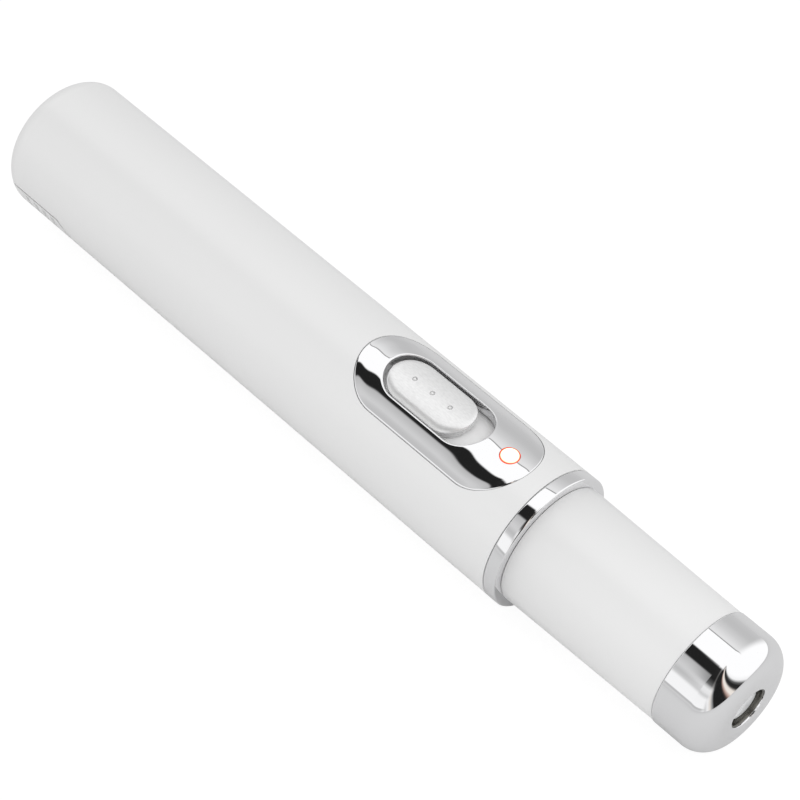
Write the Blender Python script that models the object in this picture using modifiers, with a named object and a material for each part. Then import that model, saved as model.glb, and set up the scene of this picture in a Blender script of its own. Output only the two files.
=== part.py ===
"""Electric eye massager: a pen-shaped massager with a chrome tip, a slide switch and a battery door.

Lengths are in metres. The pen lies along +X with its tip at the +X end and its button facing +Z.
Inside the script a place along the pen, called x, is measured from the flat rear end, and heights
and widths are measured from the pen's axis. The empty "pen_axis" carries everything to its place.
"""
import math

import bmesh
import bpy
from mathutils import Euler, Matrix, Vector

# Clearances and counts
FIT_GAP = 0.0003
SEAM_GAP = 0.0002
CUT_OVERRUN = 0.002
MERGE_DISTANCE = 0.00001
OUTER_STEPS = 50
INNER_STEPS = 30
SMALL_STEPS = 16
ARC_STEPS = 6
STADIUM_STEPS = 12
SHARP_ANGLE = math.radians(35)

# Case
BODY_WALL = 0.0016
REAR_WALL = 0.0016
REAR_FILLET_LENGTH = 0.0036
REAR_FILLET_DEPTH = 0.0048
FRONT_BAY_LENGTH = 0.0039

# Battery door
DOOR_EDGE_HEIGHT = -0.0050
DOOR_EAR_HEIGHT = -0.0018
DOOR_EAR_FRONT = 0.0134
DOOR_EAR_SLOPE = 0.0021
RAIL_THICKNESS = 0.0007
RAIL_ROOT_BITE = 0.0002
RAIL_HOOK_WIDTH = 0.0007
RAIL_HOOK_THICKNESS = 0.0008
RAIL_REAR_SETBACK = 0.0036
RAIL_FRONT_SETBACK = 0.0025
LEDGE_THICKNESS = 0.0006
LEDGE_ROOT_INSET = 0.0008
TONGUE_THICKNESS = 0.0007
TONGUE_ROOT_LENGTH = 0.0013
TONGUE_REACH = 0.0014
TONGUE_HALF_WIDTH = 0.0050
RIB_THICKNESS = 0.0010
DOOR_RIB_HALF_WIDTH = 0.0035
DOOR_RIB_PLACE_SHARES = (0.16, 0.40, 0.64, 0.88)
GRIP_COUNT = 4
GRIP_WIDTH = 0.0009
GRIP_PITCH = 0.0020
GRIP_HEIGHT = 0.0035
GRIP_DEPTH = 0.0003
GRIP_FIRST = 0.0055

# Front ring and barrel
RING_LENGTH = 0.0020
RING_BEVEL = 0.00025
SPIGOT_LENGTH = 0.0022
SPIGOT_WALL = 0.0009
BARREL_STEP = 0.0013
BARREL_TAPER = 0.0004
BARREL_WALL = 0.0018
BARREL_STEM_REACH = 0.0021
BARREL_STEM_WALL = 0.0010
BARREL_NECK_WALL = 0.0010
BARREL_NECK_SETBACK = 0.00085

# Tip
TIP_LENGTH = 0.00885
TIP_STEP = 0.0001
TIP_FILLET = 0.0040
TIP_WALL = 0.0006
TIP_HOLE_RADIUS = 0.00326
LENS_FLANGE_RADIUS = 0.0050
LENS_FLANGE_THICKNESS = 0.0013
LENS_NOSE_LENGTH = 0.0005

# Switch plate, which is set back from the case's front end
BEZEL_SETBACK = 0.0029
BEZEL_REAR_MARGIN = 0.0045
BEZEL_FRONT_MARGIN = 0.0039
BEZEL_SIDE_MARGIN = 0.0030
BEZEL_RISE = 0.0001
BEZEL_FLANGE = 0.0008
BEZEL_COLLAR_WALL = 0.0008
BEZEL_COLLAR_DEPTH = 0.0009
BODY_OPENING_CLEARANCE = 0.0005

# Button and shutter
BUTTON_LENGTH = 0.0149
BUTTON_WIDTH = 0.0079
BUTTON_REAR_GAP = 0.0006
BUTTON_FRONT_GAP = 0.0008
BUTTON_SIDE_GAP = 0.00035
BUTTON_TRAVEL = 0.0025
BUTTON_CROWN = 0.00005
SHUTTER_THICKNESS = 0.0006
SHUTTER_SPARE = 0.0003
SHUTTER_LAP = 0.0006
DIMPLE_COUNT = 3
DIMPLE_PITCH = 0.0035
DIMPLE_RADIUS = 0.00035
DIMPLE_DEPTH = 0.00025
STEM_LENGTH = 0.0042
STEM_WIDTH = 0.0036

# Cells and contacts
CELL_RADIUS = 0.00525
CELL_LENGTH = 0.0437
CELL_BEVEL = 0.0004
CELL_CLEARANCE = 0.00095
NUB_RADIUS = 0.0019
NUB_LENGTH = 0.0008
PLATE_THICKNESS = 0.0004
PLATE_INSET = 0.00105
SPRING_WIRE_RADIUS = 0.0003
SPRING_COIL_INSET = 0.0011
SPRING_TURNS = 4
SPRING_LENGTH = 0.0036

# Tray and board
TRAY_REAR = 0.0030
TRAY_END_WALL = 0.0014
TRAY_SIDE_WALL = 0.0009
TRAY_TOP_WALL = 0.0009
TRAY_SKIRT_DROP = 0.0024
TRAY_RIB_LENGTH = 0.0012
TRAY_RIB_CLEARANCE = 0.0007
TRAY_RIB_STEP = 0.00025
TRAY_RIB_PLACE_SHARES = (0.08, 0.34, 0.60, 0.94)
POST_HEIGHT = 0.0006
POST_RADIUS = 0.0015
BOARD_REAR_MARGIN = 0.0008
BOARD_FRONT_MARGIN = 0.0021
BOARD_SIDE_CLEARANCE = 0.00025
BOARD_THICKNESS = 0.0010
SCREW_SIDE_INSET = 0.0019
SCREW_INSET = 0.0026
SCREW_SHANK_RADIUS = 0.0005
SCREW_HEAD_RADIUS = 0.0011
SCREW_HEAD_HEIGHT = 0.0006
SCREW_DEPTH = 0.0024
SWITCH_LENGTH = 0.0090
SWITCH_WIDTH = 0.0040
SWITCH_HEIGHT = 0.0016
LEVER_LENGTH = 0.0014
LEVER_WIDTH = 0.0012
LEVER_REACH = 0.0012
LEVER_DEPTH = 0.0007
LEVER_CLEARANCE = 0.00025
CHIP_LENGTH = 0.0039
CHIP_WIDTH = 0.0030
CHIP_HEIGHT = 0.0011
CHIP_SIDE_INSET = 0.0001
RESISTOR_LENGTH = 0.0016
RESISTOR_WIDTH = 0.0008
RESISTOR_HEIGHT = 0.0005
RESISTOR_SIDE_INSET = 0.0015
RESISTOR_COUNT = 3
RESISTOR_PITCH = 0.0015
CAPACITOR_RADIUS = 0.0013
CAPACITOR_HEIGHT = 0.0012
CAPACITOR_SIDE_INSET = 0.0018
LAMP_RADIUS = 0.00145
LAMP_CLEARANCE = 0.00045
LAMP_FLANGE_RADIUS = 0.0018
LAMP_FLANGE_HEIGHT = 0.0008
LAMP_RISE = 0.0003
LAMP_SINK = 0.00095
LAMP_LEG_RADIUS = 0.00025
LAMP_LEG_SPACING = 0.0018

# Motor and tip lamp
MOTOR_RADIUS = 0.0030
MOTOR_LENGTH = 0.0125
MOTOR_BACKSET = 0.0016
MOTOR_BORE_DEPTH = 0.0020
MOTOR_NOSE_RADIUS = 0.0012
MOTOR_NOSE_LENGTH = 0.0006
SHAFT_RADIUS = 0.0005
SHAFT_CLEARANCE = 0.0001
SHAFT_REACH = 0.0048
WEIGHT_RADIUS = 0.0029
WEIGHT_LENGTH = 0.0032
WEIGHT_STANDOFF = 0.0006
WEIGHT_FLAT_HEIGHT = 0.0009
HOLDER_LENGTH = 0.0100
HOLDER_GROOVE_WIDTH = 0.0024
HOLDER_GROOVE_DEPTH = 0.0020
LED_BOARD_STANDOFF = 0.0040
LED_BOARD_THICKNESS = 0.0010
LED_RADIUS = 0.0025
LED_FLANGE_RADIUS = 0.0029
LED_FLANGE_LENGTH = 0.0010
LED_LENGTH = 0.0086

# Wires
WIRE_RADIUS = 0.00035
WIRE_SPACING = 0.0014

# Places along the pen: the tray holds the cells, and the case is as long as they need
REAR_PLATE_PLACE = TRAY_REAR + TRAY_END_WALL + FIT_GAP
SPRING_REAR = REAR_PLATE_PLACE + PLATE_THICKNESS + FIT_GAP
REAR_CELL_PLACE = SPRING_REAR + SPRING_LENGTH + FIT_GAP
CELL_PITCH = CELL_LENGTH + NUB_LENGTH + FIT_GAP
FRONT_CELL_PLACE = REAR_CELL_PLACE + CELL_PITCH
FRONT_PLATE_PLACE = FRONT_CELL_PLACE + CELL_PITCH
TRAY_BAY_REAR = TRAY_REAR + TRAY_END_WALL
TRAY_BAY_FRONT = FRONT_PLATE_PLACE + PLATE_THICKNESS + FIT_GAP
TRAY_FRONT = TRAY_BAY_FRONT + TRAY_END_WALL
TRAY_LENGTH = TRAY_FRONT - TRAY_REAR
DOOR_FRONT = TRAY_FRONT
BODY_LENGTH = TRAY_FRONT + FRONT_BAY_LENGTH
RING_REAR = BODY_LENGTH + SEAM_GAP
RING_FRONT = RING_REAR + RING_LENGTH
BARREL_REAR = RING_FRONT + SEAM_GAP
BARREL_STEM_REAR = BARREL_REAR - RING_LENGTH - BARREL_STEM_REACH
HOLDER_REAR = BARREL_REAR + FIT_GAP
MOTOR_REAR = HOLDER_REAR + MOTOR_BACKSET
MOTOR_FRONT = MOTOR_REAR + MOTOR_LENGTH
SHAFT_FRONT = MOTOR_FRONT + MOTOR_NOSE_LENGTH + SHAFT_REACH
WEIGHT_REAR = MOTOR_FRONT + MOTOR_NOSE_LENGTH + WEIGHT_STANDOFF
LED_BOARD_REAR = SHAFT_FRONT + LED_BOARD_STANDOFF
LED_REAR = LED_BOARD_REAR + LED_BOARD_THICKNESS + FIT_GAP
LAMP_HOLDER_REAR = LED_REAR
LAMP_HOLDER_FRONT = LED_REAR + LED_LENGTH + FIT_GAP
LENS_REAR = LAMP_HOLDER_FRONT + FIT_GAP
LENS_FRONT = LENS_REAR + LENS_FLANGE_THICKNESS
TIP_INNER_END = LENS_FRONT + FIT_GAP
TIP_END = TIP_INNER_END + TIP_WALL
TIP_REAR = TIP_END - TIP_LENGTH
BARREL_FRONT = TIP_REAR - SEAM_GAP
BARREL_NECK_FRONT = TIP_END - TIP_FILLET - BARREL_NECK_SETBACK
PEN_LENGTH = TIP_END

# Radii: the case is as wide as the stack of cells, tray, board, switch, shutter and plate
STACK_BELOW = BODY_WALL + CELL_CLEARANCE + 2 * CELL_RADIUS + FIT_GAP + TRAY_TOP_WALL
STACK_BOARD = POST_HEIGHT + BOARD_THICKNESS + SWITCH_HEIGHT + LEVER_REACH + 2 * FIT_GAP
STACK_PLATE = (
    LEVER_CLEARANCE + SHUTTER_THICKNESS + FIT_GAP + BEZEL_COLLAR_DEPTH + BEZEL_FLANGE - BEZEL_RISE)
BODY_RADIUS = (STACK_BELOW + STACK_BOARD + STACK_PLATE) / 2
BODY_INNER = BODY_RADIUS - BODY_WALL
REAR_FLAT_RADIUS = BODY_RADIUS - REAR_FILLET_DEPTH
CELL_AXIS_DROP = BODY_INNER - CELL_CLEARANCE - CELL_RADIUS
FLAT_SHARE = math.cos(math.pi / OUTER_STEPS)
SPIGOT_RADIUS = BODY_INNER - FIT_GAP
RING_BORE = SPIGOT_RADIUS - SPIGOT_WALL
STEM_RADIUS = RING_BORE - FIT_GAP
STEM_BORE = STEM_RADIUS - BARREL_STEM_WALL
BARREL_REAR_RADIUS = BODY_RADIUS - BARREL_STEP
BARREL_FRONT_RADIUS = BARREL_REAR_RADIUS - BARREL_TAPER
BARREL_BORE_RADIUS = BARREL_FRONT_RADIUS - BARREL_WALL
BARREL_NECK_RADIUS = BARREL_BORE_RADIUS + BARREL_NECK_WALL
TIP_RADIUS = BARREL_FRONT_RADIUS + TIP_STEP
TIP_INNER = TIP_RADIUS - TIP_WALL
LENS_NOSE_RADIUS = TIP_HOLE_RADIUS - FIT_GAP
PLATE_RADIUS = CELL_RADIUS - PLATE_INSET
SPRING_COIL_RADIUS = PLATE_RADIUS - SPRING_COIL_INSET

# Switch plate, button and shutter
SLOT_LENGTH = BUTTON_REAR_GAP + BUTTON_LENGTH + BUTTON_TRAVEL + BUTTON_FRONT_GAP
SLOT_WIDTH = BUTTON_WIDTH + 2 * BUTTON_SIDE_GAP
LAMP_STEP = BUTTON_TRAVEL + LAMP_CLEARANCE + LAMP_RADIUS
BEZEL_LENGTH = BEZEL_REAR_MARGIN + SLOT_LENGTH + LAMP_STEP + BEZEL_FRONT_MARGIN
BEZEL_WIDTH = SLOT_WIDTH + 2 * BEZEL_SIDE_MARGIN
BEZEL_REAR = BODY_LENGTH - BEZEL_SETBACK - BEZEL_LENGTH
BEZEL_CENTRE = BEZEL_REAR + BEZEL_LENGTH / 2
SLOT_REAR = BEZEL_REAR + BEZEL_REAR_MARGIN
SLOT_FRONT = SLOT_REAR + SLOT_LENGTH
SLOT_CENTRE = SLOT_REAR + SLOT_LENGTH / 2
LAMP_PLACE = SLOT_FRONT + LAMP_STEP
BODY_OPENING_REAR = SLOT_REAR - BEZEL_COLLAR_WALL - BODY_OPENING_CLEARANCE
BODY_OPENING_FRONT = LAMP_PLACE + LAMP_RADIUS + FIT_GAP
BODY_OPENING_LENGTH = BODY_OPENING_FRONT - BODY_OPENING_REAR
BODY_OPENING_CENTRE = (BODY_OPENING_FRONT + BODY_OPENING_REAR) / 2
BODY_OPENING_WIDTH = SLOT_WIDTH + 2 * (BEZEL_COLLAR_WALL + BODY_OPENING_CLEARANCE)
BEZEL_TOP = BODY_RADIUS + BEZEL_RISE
BEZEL_SEAT = BEZEL_TOP - BEZEL_FLANGE
COLLAR_LOW = BEZEL_SEAT - BEZEL_COLLAR_DEPTH
SHUTTER_TOP = COLLAR_LOW - FIT_GAP
SHUTTER_LOW = SHUTTER_TOP - SHUTTER_THICKNESS
SHUTTER_REAR = SLOT_REAR - BUTTON_TRAVEL - SHUTTER_SPARE
SHUTTER_LENGTH = SLOT_LENGTH + BUTTON_TRAVEL + SHUTTER_SPARE
SHUTTER_WIDTH = SLOT_WIDTH + 2 * SHUTTER_LAP
BUTTON_CENTRE = SLOT_REAR + BUTTON_REAR_GAP + BUTTON_LENGTH / 2
BUTTON_TOP = BODY_RADIUS - BUTTON_CROWN
BUTTON_LOW = SHUTTER_TOP + FIT_GAP

# Tray, and the door's rails beside it, which hook over the ledges of the case
BAY_RADIUS = CELL_RADIUS + FIT_GAP
TRAY_HALF_WIDTH = BAY_RADIUS + TRAY_SIDE_WALL
TRAY_TOP = BAY_RADIUS + TRAY_TOP_WALL - CELL_AXIS_DROP
TRAY_BOTTOM = -CELL_AXIS_DROP - TRAY_SKIRT_DROP
WEB_INNER = TRAY_HALF_WIDTH + FIT_GAP
WEB_OUTER = WEB_INNER + RAIL_THICKNESS
HOOK_OUTER = WEB_OUTER + RAIL_HOOK_WIDTH
LEDGE_LOW = DOOR_EDGE_HEIGHT + SEAM_GAP
LEDGE_TOP = LEDGE_LOW + LEDGE_THICKNESS
HOOK_LOW = LEDGE_TOP + FIT_GAP
RAIL_TOP_HEIGHT = HOOK_LOW + RAIL_HOOK_THICKNESS
RAIL_ROOT_HEIGHT = -math.sqrt(BODY_INNER ** 2 - WEB_INNER ** 2) - RAIL_ROOT_BITE
RAIL_REAR = DOOR_EAR_FRONT + RAIL_REAR_SETBACK
RAIL_FRONT = DOOR_FRONT - RAIL_FRONT_SETBACK
LEDGE_INNER = WEB_OUTER + FIT_GAP
LEDGE_ROOT_WIDTH = BODY_INNER - LEDGE_ROOT_INSET
LEDGE_REAR = DOOR_EAR_FRONT + DOOR_EAR_SLOPE + SEAM_GAP
TRAY_RIB_LOW = RAIL_TOP_HEIGHT + TRAY_RIB_CLEARANCE
TRAY_RIB_HIGH = TRAY_TOP - TRAY_RIB_STEP

# Board and switch
BOARD_LOW = TRAY_TOP + POST_HEIGHT + FIT_GAP
BOARD_TOP = BOARD_LOW + BOARD_THICKNESS
BOARD_REAR = BEZEL_REAR + BOARD_REAR_MARGIN
BOARD_FRONT = LAMP_PLACE + BOARD_FRONT_MARGIN
SWITCH_LOW = BOARD_TOP + FIT_GAP
SWITCH_TOP = SWITCH_LOW + SWITCH_HEIGHT
LEVER_TOP = SWITCH_TOP + LEVER_REACH
LEVER_LOW = SWITCH_TOP - LEVER_DEPTH
STEM_LOW = SWITCH_TOP + FIT_GAP
STEM_POCKET_TOP = LEVER_TOP + FIT_GAP
SWITCH_CENTRE = BUTTON_CENTRE + BUTTON_TRAVEL / 2
SCREW_PLACES = (BOARD_REAR + SCREW_INSET, SWITCH_CENTRE + SWITCH_LENGTH / 2 + SCREW_INSET)
CHIP_TOP = SWITCH_LOW + CHIP_HEIGHT
CHIP_OUTER = math.sqrt((BODY_INNER - BOARD_SIDE_CLEARANCE) ** 2 - CHIP_TOP ** 2)
BOARD_WIDTH = 2 * (CHIP_OUTER + CHIP_SIDE_INSET)
SCREW_OFFSET = BOARD_WIDTH / 2 - SCREW_SIDE_INSET
CHIP_OFFSET = CHIP_OUTER - CHIP_WIDTH
RESISTOR_OUTER = BOARD_WIDTH / 2 - RESISTOR_SIDE_INSET
CAPACITOR_OFFSET = BOARD_WIDTH / 2 - CAPACITOR_SIDE_INSET - CAPACITOR_RADIUS
HOLDER_RADIUS = BARREL_BORE_RADIUS - FIT_GAP

# Directions and materials
TURN = Euler((math.pi / 2, 0, math.pi / 2))
WHITE_ABS = ("white_abs", (0.80, 0.80, 0.81), 0.25, 0.0)
CHROME = ("chrome_plate", (0.86, 0.86, 0.87), 0.05, 1.0)
SATIN = ("satin_silver", (0.75, 0.75, 0.76), 0.30, 0.9)
PALE_PLASTIC = ("pale_plastic", (0.78, 0.78, 0.78), 0.40, 0.0)
CLEAR_PLASTIC = ("clear_plastic", (0.85, 0.87, 0.88), 0.05, 0.0)
LAMP_EPOXY = ("lamp_epoxy", (0.95, 0.75, 0.60), 0.10, 0.0)
BLACK_PLASTIC = ("black_plastic", (0.03, 0.03, 0.03), 0.45, 0.0)
GREY_PLASTIC = ("grey_plastic", (0.35, 0.36, 0.37), 0.45, 0.0)
BOARD_GREEN = ("board_green", (0.02, 0.20, 0.08), 0.35, 0.0)
STEEL = ("nickel_steel", (0.60, 0.60, 0.58), 0.25, 1.0)
CELL_JACKET = ("cell_jacket", (0.10, 0.22, 0.45), 0.30, 0.3)
TUNGSTEN = ("weight_metal", (0.45, 0.43, 0.40), 0.40, 1.0)
SILICONE = ("grey_silicone", (0.50, 0.50, 0.50), 0.70, 0.0)
RED_WIRE = ("red_wire", (0.55, 0.03, 0.03), 0.50, 0.0)
BLACK_WIRE = ("black_wire", (0.02, 0.02, 0.02), 0.50, 0.0)


def clear_scene():
    for item in list(bpy.data.objects):
        bpy.data.objects.remove(item, do_unlink=True)


def new_collection(name):
    collection = bpy.data.collections.new(name)
    bpy.context.scene.collection.children.link(collection)
    return collection


def material(node, finish):
    """One Principled material for each piece, in the finish given."""
    name, colour, roughness, metallic = finish
    made = bpy.data.materials.new(f"{node}_{name}")
    made.use_nodes = True
    shader = made.node_tree.nodes["Principled BSDF"]
    shader.inputs["Base Color"].default_value = (*colour, 1.0)
    shader.inputs["Roughness"].default_value = roughness
    shader.inputs["Metallic"].default_value = metallic
    return made


def add_object(name, data, finish=None, parent=None, turned=False):
    """Link a mesh or curve as a piece, or as a cutter when it has no finish."""
    item = bpy.data.objects.new(name, data)
    if finish:
        parts.objects.link(item)
        data.materials.append(material(name, finish))
    else:
        cutters.objects.link(item)
        item.hide_render = True
        item.display_type = "WIRE"
    item.parent = parent or pen_axis
    if turned:
        item.rotation_euler = TURN
    return item


def mesh_from(name, shape):
    """Close a bmesh into a mesh, shaded smooth with its sharp edges kept."""
    bmesh.ops.recalc_face_normals(shape, faces=shape.faces)
    mesh = bpy.data.meshes.new(name)
    shape.to_mesh(mesh)
    shape.free()
    mesh.shade_smooth()
    mesh.set_sharp_from_angle(angle=SHARP_ANGLE)
    return mesh


def boolean(item, tool, operation="DIFFERENCE"):
    step = item.modifiers.new(f"{operation.lower()}_{tool.name}", "BOOLEAN")
    step.operation = operation
    step.solver = "EXACT"
    step.object = tool


def lathe(name, chains, finish=None, steps=OUTER_STEPS, closed=False, parent=None, stand=None):
    """Turn profiles of (place, radius) about the pen's axis, or about an upright axis at stand.
    Each runs out along the bore and back down the outer side. Open ones start and end on the axis,
    and closed ones are rings."""
    mesh = bpy.data.meshes.new(name)
    points = [(radius, 0, place) for chain in chains for place, radius in chain]
    edges = []
    first = 0
    for chain in chains:
        count = len(chain)
        edges += [(first + i, first + i + 1) for i in range(count - 1)]
        if closed:
            edges.append((first + count - 1, first))
        first += count
    mesh.from_pydata(points, edges, [])
    item = add_object(name, mesh, finish, parent, turned=stand is None)
    if stand:
        item.location = (*stand, 0)
    turn = item.modifiers.new("turn", "SCREW")
    turn.axis = "Z"
    turn.angle = math.tau
    turn.steps = steps
    turn.render_steps = steps
    turn.use_merge_vertices = True
    turn.merge_threshold = MERGE_DISTANCE
    turn.use_smooth_shade = True
    return item


def ring_profile(low, high, inner, outer):
    return [(low, inner), (high, inner), (high, outer), (low, outer)]


def rod_profile(low, high, radius):
    return [(high, 0), (high, radius), (low, radius), (low, 0)]


def box(name, low, high, finish=None, parent=None):
    shape = bmesh.new()
    low, high = Vector(low), Vector(high)
    size = high - low
    place = Matrix.Translation((low + high) / 2) @ Matrix.Diagonal((*size, 1))
    bmesh.ops.create_cube(shape, size=1, matrix=place)
    return add_object(name, mesh_from(name, shape), finish, parent)


def upright(name, places, radius, low, high, finish=None, parent=None, steps=SMALL_STEPS):
    """Cylinders standing along Z, one at each (x, y) in places."""
    shape = bmesh.new()
    for x, y in places:
        centre = Matrix.Translation((x, y, (low + high) / 2))
        bmesh.ops.create_cone(
            shape, cap_ends=True, segments=steps, radius1=radius, radius2=radius,
            depth=high - low, matrix=centre)
    return add_object(name, mesh_from(name, shape), finish, parent)


def stadium(centre, length, width):
    """Outline in plan with half-round ends, counter-clockwise."""
    radius = width / 2
    reach = length / 2 - radius
    outline = []
    for end in (1, -1):
        for i in range(STADIUM_STEPS + 1):
            angle = math.pi * (i / STADIUM_STEPS - 0.5)
            x = centre + end * (reach + radius * math.cos(angle))
            outline.append((x, end * radius * math.sin(angle)))
    return outline


def upright_prism(name, outline, low, high, finish=None, parent=None):
    """Extrude an (x, y) outline from height low to height high."""
    shape = bmesh.new()
    face = shape.faces.new([shape.verts.new((x, y, low)) for x, y in outline])
    raised = bmesh.ops.extrude_face_region(shape, geom=[face])
    corners = [part for part in raised["geom"] if isinstance(part, bmesh.types.BMVert)]
    bmesh.ops.translate(shape, verts=corners, vec=(0, 0, high - low))
    return add_object(name, mesh_from(name, shape), finish, parent)


def side_prism(name, outline, half_width):
    """Extrude an (x, z) outline across the pen, as a cutter."""
    shape = bmesh.new()
    face = shape.faces.new([shape.verts.new((x, -half_width, z)) for x, z in outline])
    raised = bmesh.ops.extrude_face_region(shape, geom=[face])
    corners = [part for part in raised["geom"] if isinstance(part, bmesh.types.BMVert)]
    bmesh.ops.translate(shape, verts=corners, vec=(0, 2 * half_width, 0))
    return add_object(name, mesh_from(name, shape))


def arc(centre, radii, start, end, steps=ARC_STEPS):
    """Points (place, radius) on an elliptic arc, from one angle to the other in degrees."""
    turn = [math.radians(start + (end - start) * i / steps) for i in range(steps + 1)]
    return [(centre[0] + radii[0] * math.cos(a), centre[1] + radii[1] * math.sin(a)) for a in turn]


def smooth_route(points, spacing):
    """Even points on a Catmull-Rom curve through the chosen ones."""
    knots = [Vector(p) for p in points]
    ends = [2 * knots[0] - knots[1]] + knots + [2 * knots[-1] - knots[-2]]
    route = []
    for a, b, c, d in zip(ends, ends[1:], ends[2:], ends[3:]):
        count = max(1, round((c - b).length / spacing))
        for i in range(count):
            t = i / count
            bend = 2 * a - 5 * b + 4 * c - d
            twist = 3 * b - a - 3 * c + d
            route.append((2 * b + (c - a) * t + bend * t ** 2 + twist * t ** 3) / 2)
    return route + [knots[-1]]


def tube(name, route, radius, finish):
    """A round tube along a route, with filled caps."""
    curve = bpy.data.curves.new(name, "CURVE")
    curve.dimensions = "3D"
    curve.bevel_depth = radius
    curve.bevel_resolution = 2
    curve.use_fill_caps = True
    spline = curve.splines.new("POLY")
    spline.points.add(len(route) - 1)
    for point, place in zip(spline.points, route):
        point.co = (*place, 1)
    return add_object(name, curve, finish)


def door_outline(gap):
    """Side view of the space that the door takes from the case, grown by a gap."""
    return [
        (-CUT_OVERRUN, DOOR_EAR_HEIGHT + gap),
        (DOOR_EAR_FRONT + gap / 2, DOOR_EAR_HEIGHT + gap),
        (DOOR_EAR_FRONT + DOOR_EAR_SLOPE + gap / 2, DOOR_EDGE_HEIGHT + gap),
        (DOOR_FRONT + gap, DOOR_EDGE_HEIGHT + gap),
        (DOOR_FRONT + gap, -BODY_RADIUS - CUT_OVERRUN),
        (-CUT_OVERRUN, -BODY_RADIUS - CUT_OVERRUN),
    ]


def case_profile():
    """Wall of the case, from the middle of the rear wall's inside to the middle of its outside."""
    inner_fillet = REAR_FILLET_DEPTH - BODY_WALL
    rise = REAR_FILLET_LENGTH - REAR_WALL
    inside = arc((REAR_FILLET_LENGTH, REAR_FLAT_RADIUS), (rise, inner_fillet), 180, 90)
    corner = (REAR_FILLET_LENGTH, REAR_FILLET_DEPTH)
    outside = arc((REAR_FILLET_LENGTH, REAR_FLAT_RADIUS), corner, 90, 180)
    return [
        (REAR_WALL, 0), *inside, (BODY_LENGTH, BODY_INNER), (BODY_LENGTH, BODY_RADIUS), *outside, (0, 0)]


def build_body_shell():
    body = lathe("body_shell", [case_profile()], WHITE_ABS)
    boolean(body, side_prism("door_space", door_outline(SEAM_GAP), BODY_RADIUS + CUT_OVERRUN))
    for side in (1, -1):
        y = sorted((side * LEDGE_INNER, side * LEDGE_ROOT_WIDTH))
        ledge = box(f"ledge_{side}", (LEDGE_REAR, y[0], LEDGE_LOW), (DOOR_FRONT, y[1], LEDGE_TOP))
        boolean(body, ledge, "UNION")
    seat_outline = stadium(BEZEL_CENTRE, BEZEL_LENGTH + 2 * SEAM_GAP, BEZEL_WIDTH + 2 * SEAM_GAP)
    seat = upright_prism("bezel_seat_space", seat_outline, 0, BODY_RADIUS + CUT_OVERRUN)
    core = rod_profile(0, BODY_LENGTH, BEZEL_SEAT - FIT_GAP)
    boolean(seat, lathe("bezel_seat_core", [core]))
    boolean(body, seat)
    opening = stadium(BODY_OPENING_CENTRE, BODY_OPENING_LENGTH, BODY_OPENING_WIDTH)
    boolean(body, upright_prism("switch_opening", opening, 0, BODY_RADIUS + CUT_OVERRUN))


def build_battery_door():
    door = lathe("battery_door", [case_profile()], WHITE_ABS)
    space = side_prism("door_region", door_outline(0), BODY_RADIUS + CUT_OVERRUN)
    boolean(door, space, "INTERSECT")
    for side in (1, -1):
        web_y = sorted((side * WEB_INNER, side * WEB_OUTER))
        hook_y = sorted((side * WEB_INNER, side * HOOK_OUTER))
        web = box(
            f"rail_web_{side}", (RAIL_REAR, web_y[0], RAIL_ROOT_HEIGHT),
            (RAIL_FRONT, web_y[1], RAIL_TOP_HEIGHT))
        hook = box(
            f"rail_hook_{side}", (RAIL_REAR, hook_y[0], HOOK_LOW),
            (RAIL_FRONT, hook_y[1], RAIL_TOP_HEIGHT))
        boolean(web, hook, "UNION")
        boolean(door, web, "UNION")
    boolean(door, door_tongue(), "UNION")
    boolean(door, door_ribs(), "UNION")
    boolean(door, grip_grooves())


def door_tongue():
    """Lip at the door's front end, which tucks under the case's front collar. It is hollowed along
    the cells, so that it passes under them as the door slides off."""
    outer = SPIGOT_RADIUS
    inner = outer - TONGUE_THICKNESS
    root = DOOR_FRONT - TONGUE_ROOT_LENGTH
    step = DOOR_FRONT - SEAM_GAP
    tongue = lathe("door_tongue", [[
        (root, inner), (DOOR_FRONT + TONGUE_REACH, inner), (DOOR_FRONT + TONGUE_REACH, outer),
        (step, outer), (step, BODY_INNER + TONGUE_THICKNESS), (root, BODY_INNER + TONGUE_THICKNESS)]],
        closed=True)
    low = (0, -TONGUE_HALF_WIDTH, -BODY_RADIUS)
    high = (PEN_LENGTH, TONGUE_HALF_WIDTH, 0)
    boolean(tongue, box("tongue_wedge", low, high), "INTERSECT")
    way = rod_profile(root - CUT_OVERRUN, DOOR_FRONT + TONGUE_REACH + CUT_OVERRUN, BAY_RADIUS)
    cell_way = lathe("tongue_cell_way", [way], steps=INNER_STEPS)
    cell_way.location.z = -CELL_AXIS_DROP
    boolean(tongue, cell_way)
    return tongue


def door_ribs():
    """Low cross ribs that keep the cells from rattling."""
    outer = BODY_INNER + TONGUE_THICKNESS
    rings = []
    for share in DOOR_RIB_PLACE_SHARES:
        x = DOOR_FRONT * share
        rings.append(ring_profile(x, x + RIB_THICKNESS, BODY_INNER - RIB_THICKNESS, outer))
    ribs = lathe("door_ribs", rings, closed=True)
    top = -CELL_AXIS_DROP - CELL_RADIUS - FIT_GAP
    low = (0, -DOOR_RIB_HALF_WIDTH, -BODY_RADIUS)
    boolean(ribs, box("rib_wedge", low, (PEN_LENGTH, DOOR_RIB_HALF_WIDTH, top)), "INTERSECT")
    return ribs


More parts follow.
